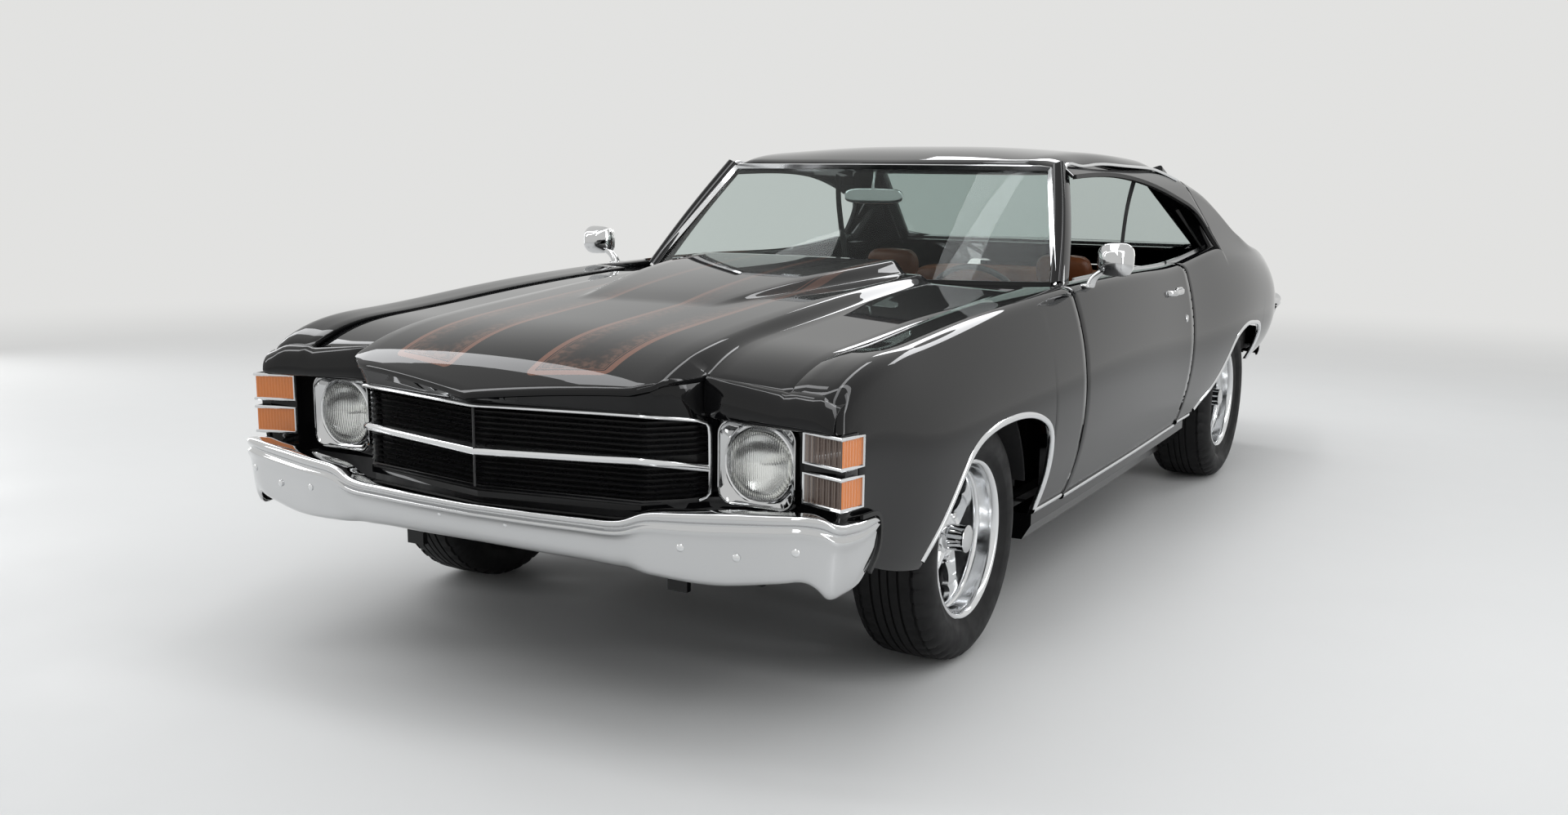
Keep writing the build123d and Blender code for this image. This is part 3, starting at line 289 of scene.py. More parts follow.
class Smooth:
    """A natural cubic curve through a table whose first column is the place and the others are values."""

    def __init__(self, rows):
        table = np.array(rows, float)
        self.t, self.v = table[:, 0], table[:, 1:]
        n = len(self.t)
        a = np.zeros((n, n))
        b = np.zeros_like(self.v)
        a[0, 0] = a[-1, -1] = 1
        for i in range(1, n - 1):
            h0, h1 = self.t[i] - self.t[i - 1], self.t[i + 1] - self.t[i]
            a[i, i - 1], a[i, i], a[i, i + 1] = h0, 2 * (h0 + h1), h1
            b[i] = 6 * ((self.v[i + 1] - self.v[i]) / h1 - (self.v[i] - self.v[i - 1]) / h0)
        self.m = np.linalg.solve(a, b)

    def __call__(self, t):
        t = min(max(t, self.t[0]), self.t[-1])
        i = min(int(np.searchsorted(self.t, t, side="right")) - 1, len(self.t) - 2)
        h = self.t[i + 1] - self.t[i]
        p, q = (self.t[i + 1] - t) / h, (t - self.t[i]) / h
        bend = ((p**3 - p) * self.m[i] + (q**3 - q) * self.m[i + 1]) * h * h / 6
        value = p * self.v[i] + q * self.v[i + 1] + bend
        return value if len(value) > 1 else float(value[0])


def through(points, count):
    """Evenly spread points on a smooth curve through the given ones."""
    points = np.array(points, float)
    steps = np.concatenate(([0], np.cumsum(np.linalg.norm(np.diff(points, axis=0), axis=1))))
    curve = Smooth(np.column_stack((steps, points)))
    return np.array([curve(t) for t in np.linspace(0, steps[-1], count)])


def smoothstep(t):
    t = min(max(t, 0.0), 1.0)
    return t * t * (3 - 2 * t)


def lerp(a, b, t):
    return a + (b - a) * t


def along(table, at, column=1):
    """A column of a table at a place in its first column, on straight lines between the rows."""
    return float(np.interp(at, [row[0] for row in table], [row[column] for row in table]))


def shade(mesh, angle):
    mesh.shade_smooth()
    mesh.set_sharp_from_angle(angle=math.radians(angle))


def baked(obj):
    """Applies all modifiers of an object."""
    graph = bpy.context.evaluated_depsgraph_get()
    mesh = bpy.data.meshes.new_from_object(obj.evaluated_get(graph))
    obj.modifiers.clear()
    old = obj.data
    obj.data = mesh
    bpy.data.meshes.remove(old)


def face_outwards(work):
    """Turns a sheet's faces away from the middle of the body."""
    middle = Vector((0, sum(v.co.y for v in work.verts) / len(work.verts), 0.5))
    way = sum(f.calc_area() * f.normal.dot(f.calc_center_median() - middle) for f in work.faces)
    if way < 0:
        bmesh.ops.reverse_faces(work, faces=work.faces)


def piece(name, verts, faces, look, slot, body="body", replaces=(), thick=0.0, bevel=0.0, levels=0, angle=38,
          closed=False, merge=0.0, looks_by_face=None):
    """A piece from points in mm. A sheet gets its thickness on the inner side of its faces."""
    mesh = bpy.data.meshes.new(name)
    mesh.from_pydata([tuple(c * MM for c in v) for v in verts], [], [tuple(f) for f in faces])
    obj = bpy.data.objects.new(name, mesh)
    bpy.context.collection.objects.link(obj)
    names = [look] if isinstance(look, str) else list(look)
    for key in names:
        mesh.materials.append(looks[key].mat)
    if looks_by_face is not None:
        for face, index in zip(mesh.polygons, looks_by_face):
            face.material_index = index
    work = bmesh.new()
    work.from_mesh(mesh)
    bmesh.ops.remove_doubles(work, verts=work.verts, dist=max(merge, 0.01) * MM)
    bmesh.ops.dissolve_degenerate(work, edges=work.edges, dist=0.005 * MM)
    if closed:
        bmesh.ops.recalc_face_normals(work, faces=work.faces)
    elif thick >= 2:
        face_outwards(work)
    work.to_mesh(mesh)
    work.free()
    if thick:
        solid = obj.modifiers.new("thick", "SOLIDIFY")
        solid.thickness = thick * MM
        solid.offset = -1
    if bevel:
        edge = obj.modifiers.new("bevel", "BEVEL")
        edge.width = bevel * MM
        edge.segments = 2
        edge.limit_method = "ANGLE"
        edge.angle_limit = math.radians(angle)
        edge.use_clamp_overlap = True
    if levels:
        sub = obj.modifiers.new("round", "SUBSURF")
        sub.levels = sub.render_levels = levels
    if thick or bevel or levels:
        baked(obj)
    shade(obj.data, angle)
    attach(obj, body)
    if replaces:
        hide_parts(*replaces)
    return obj


def grid(rows, side=1, wrap=False, ring=False):
    """Points and faces of a sheet from rows of (x, y, z). A side of -1 mirrors it."""
    count = len(rows[0])
    verts = [(x * side, y, z) for row in rows for x, y, z in row]
    faces = []
    for i in range(len(rows) if ring else len(rows) - 1):
        for j in range(count if wrap else count - 1):
            k, n = (i + 1) % len(rows), (j + 1) % count
            quad = (i * count + j, i * count + n, k * count + n, k * count + j)
            faces.append(quad if side > 0 else quad[::-1])
    return verts, faces


def joined(*sets):
    verts, faces = [], []
    for some_verts, some_faces in sets:
        start = len(verts)
        verts += list(some_verts)
        faces += [tuple(start + i for i in face) for face in some_faces]
    return verts, faces


def side_sheet(columns, side):
    """A sheet of the car's left side from columns that run down it, or its mirror image for a side of -1."""
    verts, faces = grid(columns, side)
    return verts, [face[::-1] for face in faces]


def both_halves(points):
    """A line from one side to the other, from its left half that starts on the centreline."""
    return [(-x, y, z) for x, y, z in points[:0:-1]] + list(points)


def both_half_rows(rows):
    """The same for a sheet, whose first row is on the centreline."""
    return [[(-x, y, z) for x, y, z in row] for row in rows[:0:-1]] + rows


def tube_between(rows):
    """A closed form from rings of equal counts, with caps."""
    verts, faces = grid(rows, wrap=True)
    count = len(rows[0])
    last = (len(rows) - 1) * count
    return verts, faces + [tuple(range(count)), tuple(last + i for i in reversed(range(count)))]


def swept(path, outline, up=(0, 0, 1), ring=False, scales=None):
    """A closed form whose outline (out, up) follows a path. up is the outline's second axis."""
    path = [Vector(p) for p in path]
    rows = []
    for i, point in enumerate(path):
        if ring:
            ahead = path[(i + 1) % len(path)] - path[i - 1]
        else:
            ahead = path[min(i + 1, len(path) - 1)] - path[max(i - 1, 0)]
        ahead.normalize()
        top = Vector(up[i] if isinstance(up, list) else up)
        top = (top - ahead * top.dot(ahead)).normalized()
        out = ahead.cross(top)
        size = scales[i] if scales else 1.0
        rows.append([tuple(point + out * a * size + top * b * size) for a, b in outline])
    return grid(rows, wrap=True, ring=True) if ring else tube_between(rows)


def block(half_a, low_b, high_b):
    """A rectangular outline for a swept form."""
    return [(-half_a, low_b), (half_a, low_b), (half_a, high_b), (-half_a, high_b)]


def circle(r, count=12, squash=1.0):
    return [
        (r * math.cos(2 * math.pi * i / count), r * squash * math.sin(2 * math.pi * i / count))
        for i in range(count)
    ]


def turned(outline, centre, axis="x", count=48, side=1, closed=False):
    """A turned form round an x or y axis through centre, from its outline in (along the axis, radius)."""
    rows = []
    for k in range(count):
        angle = 2 * math.pi * k / count
        row = []
        for d, r in outline:
            u, v = r * math.cos(angle), r * math.sin(angle)
            offset = (d * side, u, v) if axis == "x" else (u, d * side, v)
            row.append(tuple(c + o for c, o in zip(centre, offset)))
        rows.append(row)
    return grid(rows, wrap=closed, ring=True)


def box_form(x0, x1, y0, y1, z0, z1):
    verts = [(x, y, z) for x in (x0, x1) for y in (y0, y1) for z in (z0, z1)]
    faces = [(0, 1, 3, 2), (4, 6, 7, 5), (0, 4, 5, 1), (2, 3, 7, 6), (0, 2, 6, 4), (1, 5, 7, 3)]
    return verts, faces


# Body side. Columns: y, crown_x, crown_z, waist_x, waist_z, sill_x, sill_z
BODY_SIDE = (
    (-2325, 866, 774, 882, 655, 858, 470),
    (-2230, 873, 819, 890, 655, 862, 420),
    (-1950, 879, 864, 918, 640, 884, 335),
    (-1555, 881, 898, 934, 640, 886, 318),
    (-1150, 886, 926, 940, 650, 882, 312),
    (-600, 892, 946, 938, 660, 880, 318),
    (0, 890, 950, 930, 670, 878, 330),
    (450, 888, 952, 930, 690, 878, 344),
    (900, 892, 985, 946, 715, 884, 366),
    (1290, 890, 1004, 957, 735, 890, 426),
    (1700, 880, 985, 952, 720, 890, 488),
    (2100, 856, 928, 912, 690, 874, 532),
    (2250, 844, 888, 876, 680, 860, 568),
    (2430, 812, 846, 844, 680, 828, 606),
)
FRONT_AXLE_Y = -1555.5
REAR_AXLE_Y = 1289.5
CROWN_ROLL = 55.0
CROWN_DROP = 38.0
FRONT_ARCH = (
    (-395, 250), (-366, 339), (-312, 416), (-234, 519), (-158, 584), (-53, 617), (75, 628),
    (212, 621), (322, 594), (384, 556), (408, 498), (410, 250),
)
REAR_ARCH = (
    (-655, 250), (-560, 371), (-452, 411), (-350, 467), (-259, 548), (-190, 607), (-95, 645), (30, 662),
    (156, 655), (258, 640), (314, 600), (318, 540), (306, 470), (290, 250),
)
SAIL_FACE = ((888, 940), (868, 986), (838, 1036), (790, 1119), (752, 1178), (700, 1250), (634, 1306))
SAIL_TOP = (
    (-318, 1300), (600, 1310), (816, 1300), (1031, 1270), (1190, 1222), (1319, 1170), (1400, 1106),
    (1480, 1050), (1600, 1016), (1760, 985), (1900, 965), (2440, 965),
)
WINDOW_TOP = ((-318, 1264), (-23, 1276), (350, 1268), (611, 1236), (880, 1180), (1012, 1120), (1046, 1040),
              (1060, 960))
DOOR_FRONT_Y = -862.0
DOOR_REAR_Y = 452.0
SHUT_GAP = 10.0
OPENING_REAR_Y = 1060.0

side_table = Smooth(BODY_SIDE)
sail_x = Smooth([(z, x) for x, z in SAIL_FACE])


def side_x(y, z):
    """How far out the body side is at a height, on a circle through crown, waist and sill."""
    cx, cz, wx, wz, sx, sz = side_table(y)
    z1, z2, z3 = cz - CROWN_DROP, wz, sz
    d = 2 * (cx * (z2 - z3) + wx * (z3 - z1) + sx * (z1 - z2))
    q1, q2, q3 = cx * cx + z1 * z1, wx * wx + z2 * z2, sx * sx + z3 * z3
    mx = (q1 * (z2 - z3) + q2 * (z3 - z1) + q3 * (z1 - z2)) / d
    mz = (q1 * (sx - wx) + q2 * (cx - sx) + q3 * (wx - cx)) / d
    r2 = (cx - mx) ** 2 + (z1 - mz) ** 2
    return mx + math.sqrt(max(r2 - (z - mz) ** 2, 0.0))


def arch_samples(points, axle_y, count=90):
    """Dense points (y, z) on a wheel opening's lip, always rearwards."""
    line = through([(axle_y + y, z) for y, z in points], count)
    line[:, 0] = np.maximum.accumulate(line[:, 0] + np.linspace(0, 0.05, len(line)))
    return line


front_arch = arch_samples(FRONT_ARCH, FRONT_AXLE_Y)
rear_arch = arch_samples(REAR_ARCH, REAR_AXLE_Y)


def arch_z(y, arch):
    if arch is None or y < arch[0][0] or y > arch[-1][0]:
        return -1e9
    return float(np.interp(y, arch[:, 0], arch[:, 1]))


def low_z(y, arch=None):
    return max(side_table(y)[5], arch_z(y, arch))


def stations(start, end, pitch, arch=None, extra=()):
    """Places along the car: even ones, those of a wheel opening's lip, and extra ones."""
    places = list(np.linspace(start, end, max(2, round((end - start) / pitch) + 1))) + list(extra)
    if arch is not None:
        sill = [p for p in arch if p[1] >= side_table(p[0])[5] - 4]
        places += [p[0] for p in sill]
    places = sorted(p for p in places if start <= p <= end)
    kept = [places[0]]
    for p in places[1:]:
        if p - kept[-1] > 2.0:
            kept.append(p)
    kept[-1] = end
    return kept


def roll_points(y, count=6):
    """From the top's outer edge round the crown, to where the side begins."""
    cx, cz = side_table(y)[:2]
    top, crown = (cx - CROWN_ROLL, cz), (cx, cz - CROWN_DROP)
    ahead = (side_x(y, crown[1]) - side_x(y, crown[1] - 12)) / 12
    p1 = (top[0] + 0.62 * CROWN_ROLL, top[1] + 2.0)
    p2 = (crown[0] + ahead * 22, crown[1] + 22)
    out = []
    for i in range(count + 1):
        t = i / count
        k = ((1 - t) ** 3, 3 * t * (1 - t) ** 2, 3 * t * t * (1 - t), t**3)
        out.append(tuple(sum(w * p[c] for w, p in zip(k, (top, p1, p2, crown))) for c in (0, 1)))
    return out


def side_rows(y, z0, z1, count):
    return [(side_x(y, lerp(z0, z1, i / count)), y, lerp(z0, z1, i / count)) for i in range(count + 1)]


def hood_edge_z(y):
    return side_table(y)[1] - 6.0


LAMP_TOP, LAMP_LOW, LAMP_REAR_Y = 712.0, 547.0, -2266.0


def fender_column(y):
    """Points at y from the hood's edge over the crown and down to the lower edge."""
    cx, cz = side_table(y)[:2]
    points = [(728, y, hood_edge_z(y) - 14), (728, y, hood_edge_z(y) - 1), (730, y, hood_edge_z(y))]
    points += [(lerp(730, cx - CROWN_ROLL, t), y, lerp(hood_edge_z(y), cz, t)) for t in (0.33, 0.66)]
    points += [(x, y, z) for x, z in roll_points(y)]
    high, low = cz - CROWN_DROP, low_z(y, front_arch)
    ease = smoothstep((y - LAMP_REAR_Y) / 260)
    top = lerp(LAMP_TOP, lerp(high, low, 0.16), ease)
    base = lerp(LAMP_LOW, lerp(high, low, 0.62), ease)
    for z0, z1, count in ((high, top, 3), (top, base, 10), (base, low, 6)):
        points += side_rows(y, z0, z1, count)[1:]
    return points


NOSE_DROP = 46.0
HEADER_LOW = 714.0


def nose_roll(s):
    """How far a quarter circle has dropped at a share of its run."""
    return 1 - math.sqrt(max(1 - s * s, 0.0))


# Front lip of the panel over the lamps. Columns: distance from the centreline, y
HEADER_LIP = ((508, -2276), (560, -2290), (640, -2300), (760, -2316), (840, -2329), (862, -2330))
FENDER_ROLL_Y = -2268.0
FENDER_TIP_Y = -2325.0


def make_fenders():
    """Skins that roll down at the front and leave the side marker lamps free."""
    ys = stations(FENDER_TIP_Y, DOOR_FRONT_Y - SHUT_GAP, 30, front_arch, extra=(LAMP_REAR_Y, -2319, -2310))
    columns = []
    for y in ys:
        column = fender_column(y)
        tuck = 7 * (1 - smoothstep((y - FENDER_TIP_Y) / 15))
        s = min(max((FENDER_ROLL_Y - y) / (FENDER_ROLL_Y - FENDER_TIP_Y), 0.0), 1.0)
        roll = nose_roll(s)
        top = column[0][2]
        shaped = []
        for x, yy, z in column:
            if s > 0 and z > LAMP_TOP:
                share = min((z - LAMP_TOP) / (top - LAMP_TOP), 1.0)
                yy = lerp(FENDER_ROLL_Y, along(HEADER_LIP, min(x, 862)) + 5, s)
                z -= NOSE_DROP * roll * share
                x -= 5 * roll * (x > 800)
            shaped.append((x - tuck * (x > 800), yy, z))
        columns.append(shaped)
    wide = len(columns[0]) - 1
    # Cells between the top and the foot of the marker lamps, ahead of their rear edge
    open_cells = range(14, 24)
    for side, name in BOTH:
        verts, faces = side_sheet(columns, side)
        kept = [f for k, f in enumerate(faces)
                if ys[k // wide] >= LAMP_REAR_Y - 1 or k % wide not in open_cells]
        piece(f"fender_skin_{name}", verts, kept, "paint", "paint", replaces=(f"front_fender_{name}",),
              thick=9, bevel=1.6, angle=42)


def door_column(y):
    cx, cz = side_table(y)[:2]
    reach = lerp(68, 95, smoothstep((y + 850) / 60))
    points = [(cx - reach, y, cz - 24), (cx - reach + 2, y, cz - 4), (cx - reach + 7, y, cz - 1),
              (cx - reach + 17, y, cz)]
    points += [(x, y, z) for x, z in roll_points(y)]
    high = cz - CROWN_DROP
    return points + side_rows(y, high, low_z(y), 16)[1:]


def make_doors():
    ys = stations(DOOR_FRONT_Y, DOOR_REAR_Y, 40)
    core_ys = stations(-745, DOOR_REAR_Y - 14, 60)
    for side, name in BOTH:
        verts, faces = side_sheet([door_column(y) for y in ys], side)
        piece(f"door_skin_{name}", verts, faces, "paint", "paint", body=f"door_{name}",
              replaces=(f"door_{name}",), thick=9, bevel=1.6, angle=42)
        rings = []
        for y in core_ys:
            cx, cz = side_table(y)[:2]
            low = low_z(y) + 12
            outer = [(side_x(y, z) - 13, y, z) for z in (lerp(cz - 60, low, t) for t in (0, 0.3, 0.6, 1))]
            inner = [(cx - 84, y, low), (cx - 93, y, low + 14), (cx - 95, y, 520), (cx - 101, y, 560),
                     (cx - 101, y, 700), (cx - 95, y, 730), (cx - 95, y, cz - 40), (cx - 88, y, cz - 26)]
            rings.append([(x * side, yy, z) for x, yy, z in outer + inner])
        piece(f"door_card_{name}", *tube_between(rings), "vinyl", "paint", body=f"door_{name}", closed=True,
              bevel=3, angle=30)
        x0, x1 = sorted((770 * side, 800 * side))
        piece(f"armrest_{name}", *box_form(x0, x1, -250, 180, 640, 690), "leather", "leather",
              body=f"door_{name}", closed=True, bevel=12, levels=1, angle=60)


sail_top = Smooth(SAIL_TOP)


def blend_x(y, z):
    """The body side, which turns into the leaning sail panel above the shoulder."""
    return lerp(side_x(y, z), sail_x(max(z, 940)), smoothstep((z - 925) / 90))


def inner_edge(y):
    """Where the roof side ends inwards: the rear window's edge, then the deck's."""
    t = min(max((y - 880) / 520, 0), 1)
    if y <= 1400:
        return lerp(606, 704, t), lerp(1288, 992, t)
    ease = smoothstep((y - 1400) / 90)
    return lerp(704, 646, ease), lerp(992, side_table(y)[1] - 3, ease)


SAIL_ROWS = 12


def sail_column(y, z_low):
    """From the inner edge over the ridge and down the outside to z_low."""
    z_top = sail_top(y)
    ix, iz = inner_edge(y)
    tx = sail_x(z_top)
    points = [(ix, y, iz), (lerp(ix, tx - 40, 0.75), y, lerp(iz, z_top, 0.35)), (tx - 30, y, z_top - 5),
              (tx - 12, y, z_top - 0.5)]
    for i in range(SAIL_ROWS + 1):
        z = lerp(z_top, z_low, i / SAIL_ROWS)
        x = blend_x(y, z)
        if i == 0:
            x, z = x - 3, z - 1.5
        points.append((x, y, z))
    return points


def shoulder_column(y):
    """The same count of points over the plain shoulder and roll."""
    cx, cz = side_table(y)[:2]
    x0 = 646 if y > 1400 else cx - 95
    points = [(x0, y, cz - 22), (x0, y, cz - 5), (x0 + 2, y, cz - 3)]
    points += [(lerp(x0 + 2, cx - CROWN_ROLL, t), y, lerp(cz - 3, cz, t)) for t in (0.25, 0.5, 0.75, 0.92)]
    points += [(x, y, z) for x, z in roll_points(y, SAIL_ROWS - 3)]
    return points


def quarter_column(y):
    cz = side_table(y)[1]
    z_join = min(960.0, cz - CROWN_DROP)
    if y < OPENING_REAR_Y - 1:
        upper = shoulder_column(y)
    else:
        sail = sail_column(y, z_join)
        share = smoothstep((y - 1500) / 420)
        plain = shoulder_column(y)
        upper = [tuple(lerp(a, b, share) for a, b in zip(p, q)) for p, q in zip(sail, plain)]
    high = upper[-1][2]
    low = low_z(y, rear_arch)
    return upper + side_rows(y, high, low, 18)[1:]


def make_quarters():
    """Skins of the rear quarters with window corner, sail panel and the rail over the side window."""
    ys = stations(DOOR_REAR_Y + SHUT_GAP, 2430, 32, rear_arch, extra=(OPENING_REAR_Y,))
    ys = [y for y in ys if abs(y - OPENING_REAR_Y) > 12 or y == OPENING_REAR_Y]
    ys = sorted(ys + [OPENING_REAR_Y - 4])
    rear = []
    for y in ys:
        column = quarter_column(y)
        tuck = 8 * smoothstep((y - 2415) / 15)
        rear.append([(x - tuck, yy, z - tuck * 0.4 * (i < 16)) for i, (x, yy, z) in enumerate(column)])
    roof_ys = stations(-318, OPENING_REAR_Y, 30, extra=[p[0] for p in WINDOW_TOP])
    rail = [sail_column(y, along(WINDOW_TOP, y)) for y in roof_ys]
    for side, name in BOTH:
        verts, faces = joined(side_sheet(rear, side), side_sheet(rail, side))
        piece(f"quarter_skin_{name}", verts, faces, "paint", "paint", replaces=(f"quarter_{name}",), thick=9,
              bevel=1.5, angle=42, merge=0.4)


# Roof. Columns: y, half width at the rail, rail height, centre height
ROOF = (
    (-424, 560, 1264, 1298), (-318, 606, 1288, 1326), (-80, 632, 1306, 1362), (250, 650, 1310, 1373.2),
    (600, 652, 1306, 1364), (900, 640, 1284, 1330), (960, 632, 1272, 1312),
)
roof_table = Smooth(ROOF)
ROOF_POINTS = 49


def roof_row(y):
    """Points (x, z) over the roof at y, from side to side."""
    half, rail, centre = roof_table(y)
    rise = centre - rail
    right = [(half, rail), (half - 34, rail + 0.42 * rise), (half - 110, rail + 0.68 * rise),
             (0.4 * half, rail + 0.95 * rise)]
    points = right + [(0, centre)] + [(-x, z) for x, z in reversed(right)]
    return through(points, ROOF_POINTS)


def roof_sheet(front, front_bow, back, count, columns):
    """Rows of points over the roof, whose front and rear ends bow out in the middle."""
    bows = [1 - min(abs(x) / 650, 1.0) ** 2 for x, _ in roof_row(200)]
    rows = []
    for k in range(count + 1):
        row = []
        for j in columns:
            y = lerp(front - front_bow * bows[j], back + 44 * bows[j], k / count)
            x, z = roof_row(y)[j]
            row.append((x, y, z))
        rows.append(row)
    return rows


def make_roof():
    rows = roof_sheet(-314, 92, 886, 34, range(ROOF_POINTS))
    front, back = rows[0], rows[-1]
    rows.insert(0, [(x * 0.997, y - 7, z - 5) for x, y, z in front])
    rows.insert(0, [(x * 0.995, y - 9, z - 17) for x, y, z in front])
    rows.append([(x * 0.997, y + 10, z - 8) for x, y, z in back])
    rows.append([(x * 0.99, y + 13, z - 30) for x, y, z in back])
    piece("roof_skin", *grid(rows), "paint", "paint", replaces=("roof_shell",), thick=8, bevel=1.0,
          angle=50)


# Hood. Columns: y, shoulder x, foot x, shoulder z, centre z
HOOD = (
    (-960, 430, 476, 962, 966), (-1300, 432, 478, 944, 950), (-1700, 436, 482, 912, 920),
    (-2050, 442, 490, 878, 888), (-2262, 448, 508, 842, 858), (-2380, 448, 508, 800, 818),
    (-2502, 448, 508, 736, 748),
)
HOOD_EDGE_DROP = ((-960, 4), (-1700, 4), (-2050, 6), (-2262, 16))
HOOD_CHEEK = ((-2262, 806), (-2380, 768), (-2502, 712))
# The raised panel. Columns: y, half width low, half width high, height
BULGE = ((-2262, 236, 180, 0), (-1790, 240, 200, 0), (-1690, 262, 222, 9), (-1570, 292, 250, 17),
         (-1400, 330, 288, 25), (-1200, 362, 322, 32), (-960, 388, 346, 38))
NOSE_V = ((0, -2500), (205, -2462), (411, -2424), (448, -2398), (478, -2340), (508, -2263))
# Where the hood narrows to its nose between the lamps, and its half widths on both sides of that line
NOSE_Y = -2262.0
NOSE_HALF = 508.0
HOOD_HALF = 722.0
hood_table = Smooth(sorted(HOOD))
cheek_table = Smooth(sorted(HOOD_CHEEK))
drop_table = Smooth(HOOD_EDGE_DROP[::-1])
bulge_table = Smooth(BULGE)


def hood_z(x, y):
    sx, fx, shoulder, centre = hood_table(y)
    a = abs(x)
    if y < NOSE_Y:
        edge_x, edge = NOSE_HALF, cheek_table(y)
        foot = edge
    else:
        edge_x, edge = HOOD_HALF, hood_edge_z(y) - drop_table(y)
        foot = lerp(shoulder, edge, 0.7)
    if a <= sx:
        z = centre - (centre - shoulder) * (a / sx) ** 2
    elif a <= fx:
        z = lerp(shoulder, foot, smoothstep((a - sx) / (fx - sx)) * 0.8 + 0.2 * (a - sx) / (fx - sx))
    else:
        z = lerp(foot, edge, (a - fx) / max(edge_x - fx, 1))
    low, high, rise = bulge_table(max(y, NOSE_Y))
    if rise > 0:
        z += rise * (1 - smoothstep((a - high) / (low - high)))
    return z


def hood_columns(y):
    """Places across the hood that follow its raised panel and shoulder."""
    low, high, _ = bulge_table(max(y, NOSE_Y))
    sx, fx = hood_table(y)[:2]
    marks = ((0, high, 9), (high, low, 7), (low, sx, 5), (sx, fx, 7), (fx, HOOD_HALF, 7))
    half = [0.0]
    for a, b, count in marks:
        half += [lerp(a, b, (i + 1) / count) for i in range(count)]
    return half


def mirrored(half):
    """Places across the car, from those of one half that start at 0."""
    return [-x for x in half[:0:-1]] + half


def make_hood():
    rows = [[(x, y, hood_z(x, y)) for x in mirrored(hood_columns(y))] for y in np.linspace(-962, NOSE_Y, 53)]
    # Rear edge turns down, and the raised panel's rear is open above the cowl
    first = rows[0]
    rows.insert(0, [(x, -957, z - 4) for x, _, z in first])
    rows.insert(0, [(x, -955, z - 16) for x, _, z in first])
    front_half = hood_columns(NOSE_Y)
    xs = mirrored([x for x in front_half if x <= NOSE_HALF + 0.01])
    nose = []
    for k in range(13):
        row = []
        for x in xs:
            y = lerp(NOSE_Y, along(NOSE_V, abs(x)), k / 12)
            row.append((x, y, hood_z(x, y)))
        nose.append(row)
    last = nose[-1]
    nose.append([(x * 0.998, y - 3, z - 4) for x, y, z in last])
    nose.append([(x * 0.997, y - 3, z - 13) for x, y, z in last])
    edge = [(x, hood_z(x, NOSE_Y)) for x in front_half if x >= NOSE_HALF - 0.1]
    lip = [[(x, NOSE_Y - ahead, z - drop) for x, z in edge] for ahead, drop in ((0, 0), (4, 4), (5, 14))]
    verts, faces = joined(grid(rows), grid(nose), grid(lip), grid(lip, -1))
    faces = [f[::-1] for f in faces]
    piece("hood_skin", verts, faces, "stripes", "paint", body="hood", replaces=("hood",), thick=8, bevel=1.2,
          angle=45, merge=0.3)


# Deck lid. Columns: y, rise of its middle over its sides
DECK_CROWN = ((1583, 0.4), (1700, 9), (1900, 14), (2150, 14), (2412, 12))
DECK_HALF = 640.0


def make_deck():
    rows = []
    table = Smooth(DECK_CROWN)
    for y in np.linspace(1583, 2412, 30):
        z = side_table(y)[1] - 4
        crown = table(y)
        rows.append([(x, y, z + crown * (1 - (x / DECK_HALF) ** 2)) for x in
                     np.linspace(-DECK_HALF, DECK_HALF, 41)])
    rows.append([(x, y + 4, z - 5) for x, y, z in rows[-1]])
    rows.append([(x, y + 1, z - 20) for x, y, z in rows[-1]])
    first = rows[0]
    rows.insert(0, [(x, y - 9, z - 5) for x, y, z in first])
    rows.insert(0, [(x, y - 12, z - 14) for x, y, z in first])
    piece("deck_skin", *grid(rows), "paint", "paint", body="deck_lid", replaces=("deck_lid",), thick=9,
          bevel=1.2, angle=45)


# Front end


def make_header():
    """The painted panel between hood and lamps, whose lip hangs over them."""
    for side, name in BOTH:
        columns = []
        for x in np.linspace(506, 860, 24):
            z = hood_z(min(x, HOOD_HALF), NOSE_Y) - 3
            if x > HOOD_HALF:
                z = hood_edge_z(FENDER_ROLL_Y) - 4
                z = z - 8 * smoothstep((x - HOOD_HALF) / 10) - 16 * smoothstep((x - 806) / 54)
            front = along(HEADER_LIP, x)
            outline = [(-2269, z - 14), (-2269, z - 2)]
            for s in (0.0, 0.3, 0.5, 0.68, 0.82, 0.92, 0.98, 1.0):
                outline.append((lerp(-2271, front, s), z - NOSE_DROP * nose_roll(s)))
            outline += [(front, lerp(z - NOSE_DROP, HEADER_LOW, 0.5)), (front + 1, HEADER_LOW + 1.5),
                        (front + 6, HEADER_LOW - 2), (-2256, HEADER_LOW - 3)]
            columns.append([(x, y, zz) for y, zz in outline])
        piece(f"header_{name}", *grid(columns, side), "paint", "paint", thick=5, bevel=0.8, angle=55)


def rounded_square(half_w, half_h, r, count=8):
    """Points (a, b) round a rounded rectangle, against the clock."""
    points = []
    for k, (cx, cz) in enumerate(((1, 1), (-1, 1), (-1, -1), (1, -1))):
        for i in range(count + 1):
            a = math.pi / 2 * (k + i / count)
            points.append((cx * (half_w - r) + r * math.cos(a), cz * (half_h - r) + r * math.sin(a)))
    return points


LAMP_X, LAMP_Z, LAMP_Y = 638.0, 613.0, -2257.0


